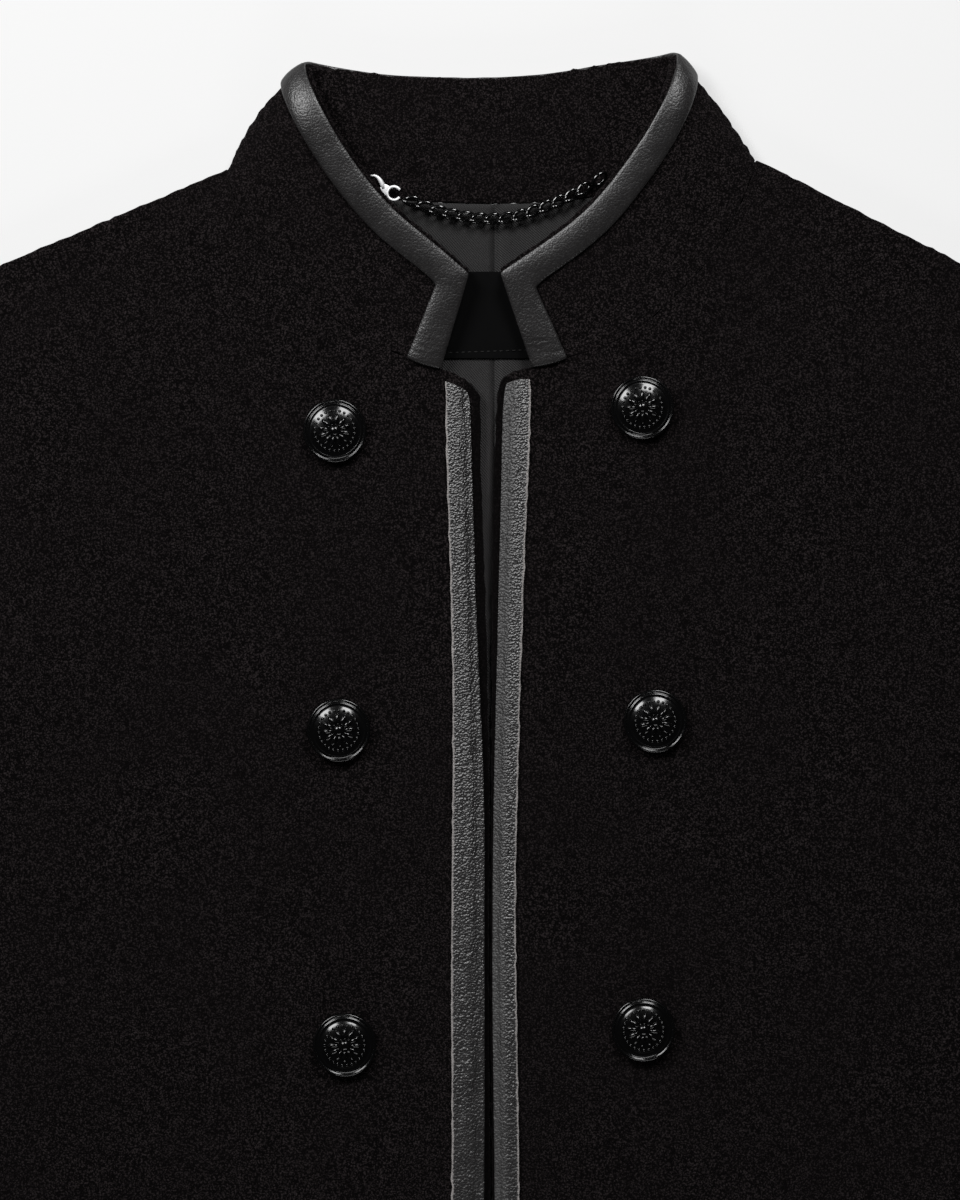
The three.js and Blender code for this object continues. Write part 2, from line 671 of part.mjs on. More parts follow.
function buttonMesh({ name, across, down, side }) {
  const spread = [[0, 0], [1, 0], [-1, 0], [0, 1], [0, -1]];
  const under = spread.map(([dx, dy]) => (
    FRONTS[side].heightAt(place(across + dx * BUTTON.base, down + dy * BUTTON.base))
  ));
  const mesh = new THREE.Mesh(button(), blackMetal());
  mesh.name = name;
  mesh.position.copy(place(across, down, Math.max(...under) + WOOL + SEAM));
  return mesh;
}

// Hanger chain: curb links, each tilted against the next and touching it

function ring(radius, wire) {
  return new THREE.TorusGeometry(radius, wire, 5, 9);
}

function chain() {
  const route = smoothCurve(CHAIN_ROUTE.map((p) => place(p.across, p.down, p.up)));
  const count = Math.round(route.getLength() / CHAIN.pitch);
  const links = Array.from({ length: count + 1 }, (_, i) => {
    const at = i / count;
    const along = route.getTangentAt(at);
    const link = ring(CHAIN.radius, CHAIN.wire);
    link.scale(CHAIN.stretch, 1, 1);
    link.rotateX(CHAIN.tilt);
    link.rotateZ(Math.atan2(along.y, along.x));
    const centre = route.getPointAt(at);
    return link.translate(centre.x, centre.y, centre.z);
  });
  return joined(links);
}

function clasp() {
  const { ring: centre, radius, wire } = CLASP;
  const hook = smoothCurve(CLASP_HOOK.map((p) => place(p.across, p.down, centre.up)));
  const section = new THREE.Shape();
  section.absarc(0, 0, wire, 0, 2 * Math.PI);
  const bar = new THREE.ExtrudeGeometry(section, { steps: 12, extrudePath: hook, curveSegments: 4 });
  const loop = ring(radius, wire);
  const at = place(centre.across, centre.down, centre.up);
  loop.translate(at.x, at.y, at.z);
  return joined([bar, loop]);
}

function chainEnd() {
  const at = place(CHAIN_END.across, CHAIN_END.down, CHAIN_END.up);
  return ring(CHAIN_END.radius, CHAIN_END.wire).translate(at.x, at.y, at.z);
}

// The jacket

const jacket = new THREE.Group();

function add(name, geometry, material) {
  const mesh = new THREE.Mesh(geometry, material);
  mesh.name = name;
  jacket.add(mesh);
}

add('back', back(), boiledWool());
for (const side of ['left', 'right']) {
  add(`front_${side}`, front(side), boiledWool());
  add(`sleeve_${side}`, sleeve(side), boiledWool());
  add(`strip_${side}`, frontStrip(side), leather());
  add(`lining_${side}`, lining(side), twill());
}
add('collar', onCollar(0, -COLLAR_WOOL, COLLAR_RISE_STEPS, () => [0, 1]), boiledWool());
const facingOuter = -COLLAR_WOOL - SEAM;
add('collar_facing', onCollar(facingOuter, facingOuter - COLLAR_FACING, 3, facingSpan), boiledWool());
add('collar_trim', collarTrim(), leather());
add('label', label(), satin());
for (const spot of BUTTON_PLACES) {
  jacket.add(buttonMesh(spot));
}
add('chain', chain(), blackMetal());
add('chain_clasp', clasp(), steel());
add('chain_end', chainEnd(), blackMetal());

export default jacket;
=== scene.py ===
"""Finish of a napoleon jacket in black boiled wool, laid flat on its back.

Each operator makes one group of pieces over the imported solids: wool panels, sleeves, collar, leather
edges, lining and label, buttons, hanger chain, and the stage with its lights and camera.
"""

import math

import bmesh
import bpy
from mathutils import Matrix, Vector, noise


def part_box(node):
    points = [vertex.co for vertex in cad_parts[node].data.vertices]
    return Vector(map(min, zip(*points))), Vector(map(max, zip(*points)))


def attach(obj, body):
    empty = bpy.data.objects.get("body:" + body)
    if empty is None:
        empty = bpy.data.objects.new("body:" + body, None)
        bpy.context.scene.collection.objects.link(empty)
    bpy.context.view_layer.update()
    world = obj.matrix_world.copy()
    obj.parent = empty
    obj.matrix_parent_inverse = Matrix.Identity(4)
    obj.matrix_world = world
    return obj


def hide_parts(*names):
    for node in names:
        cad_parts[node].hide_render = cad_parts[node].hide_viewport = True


bl_info = {
    "name": "Napoleon Jacket Finish",
    "version": (1, 0, 0),
    "blender": (4, 5, 0),
    "location": "View3D > Sidebar > Jacket",
    "description": "Dresses the packed napoleon jacket in wool, leather, twill and metal",
    "category": "Object",
}

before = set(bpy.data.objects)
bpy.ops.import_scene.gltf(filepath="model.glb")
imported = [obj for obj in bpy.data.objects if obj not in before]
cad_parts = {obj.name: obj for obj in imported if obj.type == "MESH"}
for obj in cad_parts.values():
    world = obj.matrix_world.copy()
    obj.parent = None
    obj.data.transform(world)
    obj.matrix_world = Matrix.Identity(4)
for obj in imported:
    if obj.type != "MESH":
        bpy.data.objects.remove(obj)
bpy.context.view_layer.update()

MM = 0.001
BODY = "root"

# How the frame's places relate to the jacket: down is measured from the back neck seam

NECK_SEAM_Y = 264.1 * MM


def place(across, down, up=0.0):
    """A point in the frame from millimetres across, down and up."""
    return Vector((across * MM, NECK_SEAM_Y - down * MM, up * MM))


# Settings

class JacketWool(bpy.types.PropertyGroup):
    """Boiled wool with a crumbly, felted face."""

    # Painted light: this tone colours the crumbs' raised tops lighter
    tone: bpy.props.FloatVectorProperty(
        name="Tone", description="Colour of the raised crumbs", subtype="COLOR", size=3,
        min=0.0, max=1.0, default=(0.0212, 0.0172, 0.0178))
    # Painted shade: this colour darkens the pits between the crumbs and the fronts' edges, and also gives
    # the slow changes of tone their darker end
    dark_tone_and_pit_shade: bpy.props.FloatVectorProperty(
        name="Pit tone", description="Colour between the crumbs", subtype="COLOR", size=3,
        min=0.0, max=1.0, default=(0.0008, 0.0006, 0.00065))
    crumb: bpy.props.FloatProperty(
        name="Crumb size", description="Width of one crumb of the felted face",
        default=0.54 * MM, unit="LENGTH", precision=5)
    relief: bpy.props.FloatProperty(
        name="Crumb relief", description="How far the crumbs stand off the cloth",
        default=0.4 * MM, unit="LENGTH", precision=5)
    lump: bpy.props.FloatProperty(
        name="Lump height", description="Unevenness of the cloth's face and of its outline",
        default=0.3 * MM, unit="LENGTH", precision=5)


class JacketLeather(bpy.types.PropertyGroup):
    """Black grained leather of the bound edges."""

    tone: bpy.props.FloatVectorProperty(
        name="Tone", description="Colour of the leather's face", subtype="COLOR", size=3,
        min=0.0, max=1.0, default=(0.0095, 0.0088, 0.009))
    raw: bpy.props.FloatVectorProperty(
        name="Raw edge tone", description="Colour along a raw cut edge", subtype="COLOR", size=3,
        min=0.0, max=1.0, default=(0.21, 0.195, 0.19))
    grain: bpy.props.FloatProperty(
        name="Grain size", description="Width of one pebble of the grain",
        default=0.92 * MM, unit="LENGTH", precision=5)
    relief: bpy.props.FloatProperty(
        name="Grain relief", description="How far the pebbles and wrinkles stand up",
        default=0.42 * MM, unit="LENGTH", precision=5)
    puff: bpy.props.FloatProperty(
        name="Puff", description="How far the collar's binding stands up along its middle",
        default=0.9 * MM, unit="LENGTH", precision=5)


class JacketLining(bpy.types.PropertyGroup):
    """Twill lining and the bare woven label on it."""

    tone: bpy.props.FloatVectorProperty(
        name="Tone", description="Colour of the twill", subtype="COLOR", size=3,
        min=0.0, max=1.0, default=(0.0092, 0.0084, 0.0087))
    rib: bpy.props.FloatProperty(
        name="Rib pitch", description="Distance between two twill ribs",
        default=0.74 * MM, unit="LENGTH", precision=5)
    label_tone: bpy.props.FloatVectorProperty(
        name="Label tone", description="Colour of the bare label", subtype="COLOR", size=3,
        min=0.0, max=1.0, default=(0.0013, 0.0013, 0.0014))


class JacketMetal(bpy.types.PropertyGroup):
    """Gloss black buttons and chain, and the bright clasp."""

    enamel: bpy.props.FloatVectorProperty(
        name="Enamel", description="Colour of the black metal", subtype="COLOR", size=3,
        min=0.0, max=1.0, default=(0.0012, 0.0012, 0.0013))
    plate: bpy.props.FloatVectorProperty(
        name="Plate", description="Colour of the bright clasp", subtype="COLOR", size=3,
        min=0.0, max=1.0, default=(0.88, 0.88, 0.89))
    petals: bpy.props.IntProperty(
        name="Petals", description="Petals of the rosette on each button", default=12, min=5)
    pellets: bpy.props.IntProperty(
        name="Pellets", description="Pellets in the ring round the rosette", default=26, min=8)


class JacketStage(bpy.types.PropertyGroup):
    """Floor, lights and camera."""

    distance: bpy.props.FloatProperty(
        name="Camera height", description="Height of the camera above the jacket",
        default=1.8, unit="LENGTH")
    picture_height: bpy.props.FloatProperty(
        name="Framed height", description="Length of the jacket that the picture takes in",
        default=434.8 * MM, unit="LENGTH")
    floor_tone: bpy.props.FloatVectorProperty(
        name="Floor", description="Colour of the floor", subtype="COLOR", size=3,
        min=0.0, max=1.0, default=(0.28, 0.28, 0.28))
    floor_glow: bpy.props.FloatProperty(
        name="Floor glow", description="Light that the floor gives off, so that its shadows stay pale",
        default=0.54, min=0.0)
    softbox: bpy.props.FloatProperty(
        name="Softbox power", description="Power of each of the two softboxes",
        default=17.0, unit="POWER")
    low_light: bpy.props.FloatProperty(
        name="Low light power", description="Power of the low light at the hem's side",
        default=9.0, unit="POWER")
    fill: bpy.props.FloatProperty(
        name="Fill", description="Brightness of the light from all round", default=0.018, min=0.0)


# Shader values

class Signal:
    """A socket of a finish that takes part in Python arithmetic."""

    def __init__(self, finish, socket):
        self.finish = finish
        self.socket = socket

    def _math(self, operation, *values):
        return self.finish.node("ShaderNodeMath", {"operation": operation}, dict(enumerate(values)))

    def __add__(self, other):
        return self._math("ADD", self, other)

    __radd__ = __add__

    def __sub__(self, other):
        return self._math("SUBTRACT", self, other)

    def __rsub__(self, other):
        return self._math("SUBTRACT", other, self)

    def __mul__(self, other):
        return self._math("MULTIPLY", self, other)

    __rmul__ = __mul__

    def sine(self):
        """The sine of the value."""
        return self._math("SINE", self)

    def stepped(self, low, high):
        """The value turned into 0 below low and 1 above high, smoothly between."""
        settings = {"interpolation_type": "SMOOTHSTEP"}
        return self.finish.node("ShaderNodeMapRange", settings, {0: self, 1: low, 2: high})


class Finish:
    """A material and the nodes that make it."""

    def __init__(self, name):
        self.material = bpy.data.materials.new(name)
        self.material.use_nodes = True
        self.tree = self.material.node_tree
        self.tree.nodes.clear()

    def node(self, kind, settings=None, inputs=None, output=0):
        """Adds a node, its settings first and then its sockets, and returns one of its outputs."""
        made = self.tree.nodes.new(kind)
        for key, value in (settings or {}).items():
            setattr(made, key, value)
        for key, value in (inputs or {}).items():
            if isinstance(value, Signal):
                self.tree.links.new(value.socket, made.inputs[key])
            else:
                made.inputs[key].default_value = value
        return Signal(self, made.outputs[output]) if made.outputs else None

    def place(self):
        """Object coordinates, in metres."""
        return self.node("ShaderNodeTexCoord", output="Object")

    def part(self, vector, which):
        """The part of a vector along X, Y or Z, numbered from 0."""
        return self.node("ShaderNodeSeparateXYZ", {}, {0: vector}, output=which)

    def turned(self, vector, turn=(0, 0, 0), scale=(1, 1, 1)):
        """Coordinates turned by angles in radians and scaled."""
        return self.node("ShaderNodeMapping", {}, {0: vector, 2: turn, 3: scale})

    def clouds(self, vector, size, detail=2.0, roughness=0.5):
        """Soft noise between 0 and 1 with features of a size in metres."""
        inputs = {"Vector": vector, "Scale": 1 / size, "Detail": detail, "Roughness": roughness}
        return self.node("ShaderNodeTexNoise", {}, inputs)

    def cells(self, vector, size):
        """Distance from the middle of cells of a size in metres."""
        inputs = {"Vector": vector, "Scale": 1 / size}
        return self.node("ShaderNodeTexVoronoi", {"feature": "F1"}, inputs)

    def ribs(self, run, pitch):
        """A wave between 0 and 1 with a pitch in metres."""
        return 0.5 + 0.5 * (run * (2 * math.pi / pitch)).sine()

    def attribute(self, name):
        """A number kept on the mesh's points."""
        return self.node("ShaderNodeAttribute", {"attribute_name": name}, output="Fac")

    def mixed(self, share, first, second):
        """Two colours mixed by a share."""
        inputs = {0: share, 6: first, 7: second}
        return self.node("ShaderNodeMix", {"data_type": "RGBA"}, inputs, output=2)

    def raised(self, height, distance, under=None):
        """A normal with a height of 0 to 1 raised by a distance in metres, over a normal under it."""
        inputs = {"Height": height, "Distance": distance, "Strength": 1.0}
        if under is not None:
            inputs["Normal"] = under
        return self.node("ShaderNodeBump", {}, inputs)

    def finished(self, **inputs):
        """Puts a surface shader with these values on the material."""
        names = {key.replace("_", " "): value for key, value in inputs.items()}
        shader = self.node("ShaderNodeBsdfPrincipled", {}, names)
        self.node("ShaderNodeOutputMaterial", {}, {"Surface": shader})
        return self.material


def colour(tone, share=1.0):
    """A colour setting as a shader colour, made lighter or darker by a share."""
    return (tone[0] * share, tone[1] * share, tone[2] * share, 1.0)


# Finishes

def wool_finish(name, wool, lift=1.0):
    """Felted wool: crumbs with painted light on their tops and painted shade in the pits, slow changes of
    tone, and painted shade along the fronts' edges.
    """
    finish = Finish(name)
    at = finish.place()
    crumbs = finish.clouds(at, wool.crumb, 1.0, 0.6)
    knots = 1 - finish.cells(at, 1.7 * wool.crumb)
    clumps = finish.clouds(at, 6 * wool.crumb, 2.0, 0.55)
    slow = finish.clouds(at, 45 * MM, 2.0, 0.5)
    height = 0.65 * crumbs + 0.25 * knots + 0.12 * clumps
    # Painted light and shade: the crumbs' raised tops take the lighter tone and the pits the darker one,
    # following the bump's height
    lit = height.stepped(0.46, 0.72)
    tone = finish.mixed(lit, colour(wool.dark_tone_and_pit_shade, lift), colour(wool.tone, lift))
    faded = finish.mixed(0.3 * slow.stepped(0.35, 0.7), tone, colour(wool.dark_tone_and_pit_shade, lift * 4))
    # Painted shade along the fronts' edges, where the turned-down wool lies in the leather strips' shade
    shade = finish.mixed(finish.attribute("matted"), faded, colour(wool.dark_tone_and_pit_shade))
    normal = finish.raised(height, wool.relief)
    return finish.finished(
        Base_Color=shade, Roughness=0.98 - 0.1 * lit, Normal=normal, Specular_IOR_Level=0.03,
        Sheen_Weight=0.015, Sheen_Roughness=0.6, Sheen_Tint=(0.9, 0.82, 0.84, 1.0))


# How each leather piece looks: the turn of its wrinkles in radians, the size and the depth of its
# grain as shares of the settings, its gloss, how much duller it is beside the gap, and how bare its
# raw edge is

LEATHER_LOOKS = {
    "leather_left": {"turn": 0.5, "size": 0.92, "depth": 1.1, "gloss": 0.95, "dulled": 0, "raw": 1},
    "leather_right": {"turn": -0.8, "size": 0.92, "depth": 1.1, "gloss": 0.95, "dulled": 0.22, "raw": 1},
    "leather_collar": {"turn": 0.2, "size": 0.8, "depth": 0.26, "gloss": 0.5, "dulled": 0, "raw": 0},
}


def leather_finish(name, leather):
    """Grained leather: pebbles between fine creases, slanting wrinkles, and a lighter raw edge."""
    look = LEATHER_LOOKS[name]
    finish = Finish(name)
    at = finish.place()
    grain = look["size"] * leather.grain
    relief = look["depth"] * leather.relief
    drift = finish.clouds(at, 2.5 * grain, 2.0, 0.5)
    reach = finish.cells(at, grain)
    pebbles = 1 - 1.2 * reach * reach
    slant = finish.turned(at, (0, 0, look["turn"]), (1.0, 0.3, 1.0))
    wrinkles = finish.clouds(slant, 0.8 * grain, 2.0, 0.6)
    folds = finish.clouds(slant, 4 * grain, 2.0, 0.5)
    upper = finish.part(at, 1).stepped(-0.16, 0.14)
    height = (0.7 * pebbles + 0.4 * wrinkles + 0.3 * drift) * (0.45 + 0.55 * upper)
    normal = finish.raised(folds, 1.4 * relief, finish.raised(height, relief))
    worn = finish.clouds(at, 9 * MM, 3.0, 0.6)
    rough = 0.27 + 0.14 * worn + 0.1 * (1 - pebbles)
    tone = finish.mixed(worn, colour(leather.tone, 0.75), colour(leather.tone, 1.3))
    across = finish.attribute("across")
    if look["dulled"]:
        rough = rough + look["dulled"] * across.stepped(0.35, 0.75)
    if look["raw"]:
        frayed = across + 0.2 * (finish.clouds(at, 1.1 * MM, 2.0, 0.65) - 0.5)
        bare = 1 - frayed.stepped(0.02, 0.1)
        tone = finish.mixed(bare, tone, colour(leather.raw))
        rough = rough + 0.4 * bare
    return finish.finished(
        Base_Color=tone, Roughness=rough, Normal=normal, Specular_IOR_Level=look["gloss"])


def lining_finish(name, lining, turn):
    """Twill: fine slanting ribs crossed by the finer weft, with painted shade between the ribs and painted
    light where it lies in the gap between the fronts.
    """
    finish = Finish(name)
    at = finish.place()
    slanted = finish.turned(at, (0, 0, turn))
    wander = 0.9 * finish.clouds(at, 2.5 * MM, 2.0, 0.5)
    ribs = 0.5 + 0.5 * (finish.part(slanted, 0) * (2 * math.pi / lining.rib) + wander).sine()
    picks = finish.ribs(finish.part(slanted, 1), 0.8 * lining.rib)
    slubs = finish.clouds(at, 1.2 * MM, 3.0, 0.6)
    height = 0.7 * ribs + 0.3 * picks * ribs
    # Painted light: below the neck, where the twill lies in the gap between the fronts, it is painted
    # brighter against their shade
    at_neck = finish.part(at, 1).stepped(0.16, 0.22)
    pale = finish.mixed(at_neck, colour(lining.tone, 4.2), colour(lining.tone, 1.4))
    # Painted shade: the twill is darker where its ribs sink, mixed with random slubs
    tone = finish.mixed(0.7 * height + 0.3 * slubs, colour(lining.tone, 0.1), pale)
    normal = finish.raised(height, 0.2 * MM)
    return finish.finished(
        Base_Color=tone, Roughness=0.6 + 0.15 * slubs, Normal=normal, Specular_IOR_Level=0.35,
        Sheen_Weight=0.05, Sheen_Roughness=0.4)


def label_finish(lining):
    """Black satin, woven fine, with no lettering."""
    finish = Finish("label_satin")
    at = finish.place()
    threads = finish.ribs(finish.part(at, 0), 0.4 * MM)
    slubs = finish.clouds(finish.turned(at, scale=(0.2, 1.0, 1.0)), 0.5 * MM, 3.0, 0.6)
    tone = finish.mixed(slubs, colour(lining.label_tone, 0.6), colour(lining.label_tone, 1.6))
    normal = finish.raised(0.6 * threads + 0.4 * slubs, 0.03 * MM)
    return finish.finished(
        Base_Color=tone, Roughness=0.85 + 0.1 * slubs, Normal=normal, Specular_IOR_Level=0.06)


def thread_finish():
    """Black sewing thread."""
    finish = Finish("thread")
    at = finish.place()
    twist = finish.clouds(at, 0.25 * MM, 2.0, 0.5)
    tone = finish.mixed(twist, (0.001, 0.001, 0.001, 1.0), (0.006, 0.0055, 0.0055, 1.0))
    return finish.finished(
        Base_Color=tone, Roughness=0.7 + 0.1 * twist, Normal=finish.raised(twist, 0.05 * MM),
        Specular_IOR_Level=0.3)


def metal_finish(name, tone, roughness, scuffed, metallic=0.0, gloss=0.42):
    """Coated metal with faint scuffs and casting unevenness."""
    finish = Finish(name)
    at = finish.place()
    scuffs = finish.clouds(finish.turned(at, (0, 0, 0.6), (1.0, 0.15, 1.0)), 0.5 * MM, 4.0, 0.7)
    patches = finish.clouds(at, 4 * MM, 3.0, 0.6)
    rough = roughness + scuffed * (0.6 * scuffs.stepped(0.5, 0.8) + 0.4 * patches)
    shade = finish.mixed(patches, colour(tone, 0.8), colour(tone, 1.2))
    normal = finish.raised(finish.clouds(at, 2.5 * MM, 2.0, 0.5), 0.02 * MM)
    return finish.finished(
        Base_Color=shade, Roughness=rough, Normal=normal, Metallic=metallic,
        Specular_IOR_Level=gloss, Coat_Weight=0.05, Coat_Roughness=0.16)


def floor_finish(tone, glow):
    """Plain pale paper, lit a little from below."""
    finish = Finish("floor_paper")
    at = finish.place()
    fibre = finish.clouds(at, 2 * MM, 3.0, 0.6)
    shade = finish.mixed(fibre, colour(tone, 0.995), colour(tone, 1.005))
    return finish.finished(
        Base_Color=shade, Roughness=0.9, Specular_IOR_Level=0.1, Emission_Color=(1.0, 1.0, 1.0, 1.0),
        Emission_Strength=glow)


# Mesh helpers

MERGE = 0.002 * MM
FLAT_ANGLE = math.radians(0.5)
RIM_ANGLE = math.radians(50)
RIM_CREASE = 0.8
GRID_FAVOURS = (1.0, 1.3, 1.6)


def merged_copy(node):
    """A mesh of a CAD node with its loose triangles merged."""
    made = bmesh.new()
    made.from_mesh(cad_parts[node].data)
    bmesh.ops.remove_doubles(made, verts=made.verts, dist=MERGE)
    return made


def joined_copy(node, favour):
    """A mesh of a CAD node with its triangles joined into quads."""
    made = merged_copy(node)
    bmesh.ops.join_triangles(
        made, faces=made.faces[:], angle_face_threshold=math.pi, angle_shape_threshold=math.pi,
        topology_influence=favour)
    made.normal_update()
    return made


def quad_copy(node):
    """The copy of a CAD node that has the fewest triangles left."""
    copies = [joined_copy(node, favour) for favour in GRID_FAVOURS]
    copies.sort(key=lambda made: sum(len(face.verts) == 3 for face in made.faces))
    for spare in copies[1:]:
        spare.free()
    return copies[0]


def celled_copy(node, cell):
    """A mesh of a flat CAD node, its outline cut along both ways into cells."""
    made = merged_copy(node)
    bmesh.ops.dissolve_limit(made, angle_limit=FLAT_ANGLE, verts=made.verts[:], edges=made.edges[:])
    low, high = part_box(node)
    for axis in (Vector((1, 0, 0)), Vector((0, 1, 0))):
        count = int(axis.dot(high - low) / cell)
        for turn in range(1, count + 1):
            bmesh.ops.bisect_plane(
                made, geom=made.verts[:] + made.edges[:] + made.faces[:], dist=MERGE,
                plane_co=low + turn * cell * axis, plane_no=axis)
    return made


def crease_rims(made, crease=RIM_CREASE):
    """Creases the edges where a wall's faces meet its rims, so that smoothing keeps them."""
    layer = made.edges.layers.float.new("crease_edge")
    for edge in made.edges:
        if edge.calc_face_angle(0.0) > RIM_ANGLE:
            edge[layer] = crease


def piece_from(made, name, finish):
    """An object from a bmesh, with its finish."""
    mesh = bpy.data.meshes.new(name)
    made.to_mesh(mesh)
    made.free()
    mesh.materials.append(finish)
    mesh.shade_smooth()
    piece = bpy.data.objects.new(name, mesh)
    bpy.context.scene.collection.objects.link(piece)
    return piece


def subdivided(piece, levels=3):
    """Puts a subdivision surface into the piece's mesh."""
    modifier = piece.modifiers.new("smooth", "SUBSURF")
    modifier.levels = levels
    modifier.render_levels = levels
    graph = bpy.context.evaluated_depsgraph_get()
    fine = bpy.data.meshes.new_from_object(piece.evaluated_get(graph))
    piece.modifiers.clear()
    piece.data = fine
    fine.shade_smooth()
    return piece


def reshaped(piece, rule):
    """Moves each point of a piece by what a rule gives for its place, outward direction and index."""
    mesh = piece.data
    normals = [normal.vector.copy() for normal in mesh.vertex_normals]
    for index, vertex in enumerate(mesh.vertices):
        vertex.co += rule(vertex.co, normals[index], index)
    mesh.update()
    return piece


def placed(piece, node):
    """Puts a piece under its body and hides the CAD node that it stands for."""
    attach(piece, BODY)
    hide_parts(node)


def declared(piece, node):
    """Puts a piece of cloth under its body and hides the CAD node that it stands for."""
    placed(piece, node)


def bead(made, matrix, half, around, along):
    """A rounded bead of given half sizes, set by a matrix, with faces around and along it."""
    shape = matrix @ Matrix.Diagonal((*half, 1.0))
    bmesh.ops.create_uvsphere(made, u_segments=around, v_segments=along, radius=1.0, matrix=shape)


def edges_of(verts):
    """The edges that meet at some vertices, each once."""
    return list({edge for vertex in verts for edge in vertex.link_edges})


def smoothstep(value, low, high):
    """0 below low, 1 above high, smooth between."""
    share = min(max((value - low) / (high - low), 0.0), 1.0)
    return share * share * (3 - 2 * share)


def segment_distance(point, start, end):
    """How far a point lies from a line in plan, and how far along it the nearest place is."""
    run = (end - start).to_2d()
    offset = (point - start).to_2d()
    along = min(max(offset.dot(run) / run.length_squared, 0.0), 1.0)
    return (offset - along * run).length, along


# Creases: each row is a soft trough from one place to another, in millimetres across and down, with
# its depth and width in millimetres. The first two are the bust darts.

CREASES = [
    {"start": (-232, 262), "end": (-138, 255.4), "depth": 1.1, "width": 1.9},
    {"start": (230, 270), "end": (133.7, 263), "depth": 1.1, "width": 1.9},
    {"start": (-236, 92), "end": (-214, 150), "depth": 1.2, "width": 9},
    {"start": (-258, 108), "end": (-232, 176), "depth": 1.6, "width": 12},
    {"start": (240, 98), "end": (216, 160), "depth": 1.3, "width": 10},
    {"start": (268, 118), "end": (240, 190), "depth": 1.6, "width": 13},
    {"start": (-352, 292), "end": (-408, 268), "depth": 1.6, "width": 11},
    {"start": (-360, 322), "end": (-418, 306), "depth": 1.5, "width": 9},
    {"start": (-372, 346), "end": (-398, 340), "depth": 1.2, "width": 7},
    {"start": (350, 286), "end": (404, 258), "depth": 1.6, "width": 10},
    {"start": (358, 318), "end": (420, 300), "depth": 1.6, "width": 11},
    {"start": (376, 352), "end": (410, 346), "depth": 1.1, "width": 8},
    {"start": (-222, 236), "end": (-168, 300), "depth": 0.7, "width": 12},
    {"start": (220, 230), "end": (176, 316), "depth": 0.6, "width": 13},
    {"start": (-216, 372), "end": (-140, 388), "depth": 0.6, "width": 14},
    {"start": (218, 366), "end": (152, 392), "depth": 0.6, "width": 12},
]


def creased(point):
    """How far the cloth sinks at a place."""
    depth = 0.0
    for crease in CREASES:
        width = crease["width"] * MM
        distance, along = segment_distance(point, place(*crease["start"]), place(*crease["end"]))
        if distance < 3 * width:
            taper = math.sin(math.pi * min(max(along, 0.06), 0.94))
            depth += crease["depth"] * MM * taper * math.exp(-((distance / width) ** 2))
    return depth


# Kinds of unevenness: the size of the features in millimetres, how high they stand, and a shift that
# keeps one kind from falling together with another

UNEVEN = {
    "broad_swell": {"size": 95, "height": 0.45 * MM, "shift": (0, 0, 0)},
    "near_swell": {"size": 38, "height": 0.2 * MM, "shift": (7.1, 3.3, 0.0)},
    "fine_lumps": {"size": 1.3, "height": 0.6, "shift": (0, 0, 0)},
    "coarse_lumps": {"size": 3.4, "height": 0.6, "shift": (2.7, 9.1, 4.2)},
    "rim_tufts": {"size": 2.7, "height": 0.55 * MM, "shift": (4.4, 1.9, 8.3)},
    "strip_wave": {"size": 6, "height": 0.08 * MM, "shift": (0, 0, 0)},
    "strip_ragged": {"size": 2.6, "height": 0.5 * MM, "shift": (0, 0, 0)},
    "trim_wave": {"size": 7, "height": 0.18 * MM, "shift": (0, 0, 0)},
    "trim_bend": {"size": 5, "height": 2.2, "shift": (0, 0, 0)},
    "label_wave": {"size": 12, "height": 0.15 * MM, "shift": (0, 0, 0)},
}
RIM_OUT = 0.2 * MM
RIM_TILT = (0.3, 0.8)
TOP_TILT = (0.2, 0.8)


def uneven(point, kind):
    """The unevenness of a kind at a place."""
    row = UNEVEN[kind]
    return row["height"] * noise.noise(point / (row["size"] * MM) + Vector(row["shift"]))


def swell(point):
    """Slow unevenness of cloth that lies loosely, in metres."""
    return uneven(point, "broad_swell") + uneven(point, "near_swell")


def lumps(point):
    """Fine unevenness of the felted face, from about -1 to 1."""
    return uneven(point, "fine_lumps") + uneven(point, "coarse_lumps")


def rim_growth(point, outward):
    """How far a fuzzy rim stands out, which closes the seam beside it and roughens the outline."""
    return (RIM_OUT + uneven(point, "rim_tufts")) * smoothstep(1 - abs(outward.z), *RIM_TILT)


def wool_rule(wool):
    """The rule that gives a wool panel its unevenness, creases and lumps."""
    def rule(point, outward, index):
        top = smoothstep(outward.z, *TOP_TILT)
        slow = top * (swell(point) - creased(point))
        return outward * (lumps(point) * wool.lump + rim_growth(point, outward)) + Vector((0, 0, slow))
    return rule


# Stage: half the floor's width, the lights in metres with the setting that gives each its power,
# where they aim, and the middle of the picture in millimetres across, down and up

FLOOR_HALF = 9.0
LIGHTS = [
    {"name": "softbox_left", "at": (-0.75, 0.85, 1.0), "size": (0.5, 0.6), "power": "softbox"},
    {"name": "softbox_right", "at": (0.35, 1.15, 1.1), "size": (0.5, 0.6), "power": "softbox"},
    {"name": "low_light", "at": (0.1, -1.6, 0.6), "size": (1.3, 0.35), "power": "low_light"},
]
LIGHTS_AIM = Vector((0, 0.1, 0))
PICTURE_MIDDLE = (-2.9, 144.2, 8)


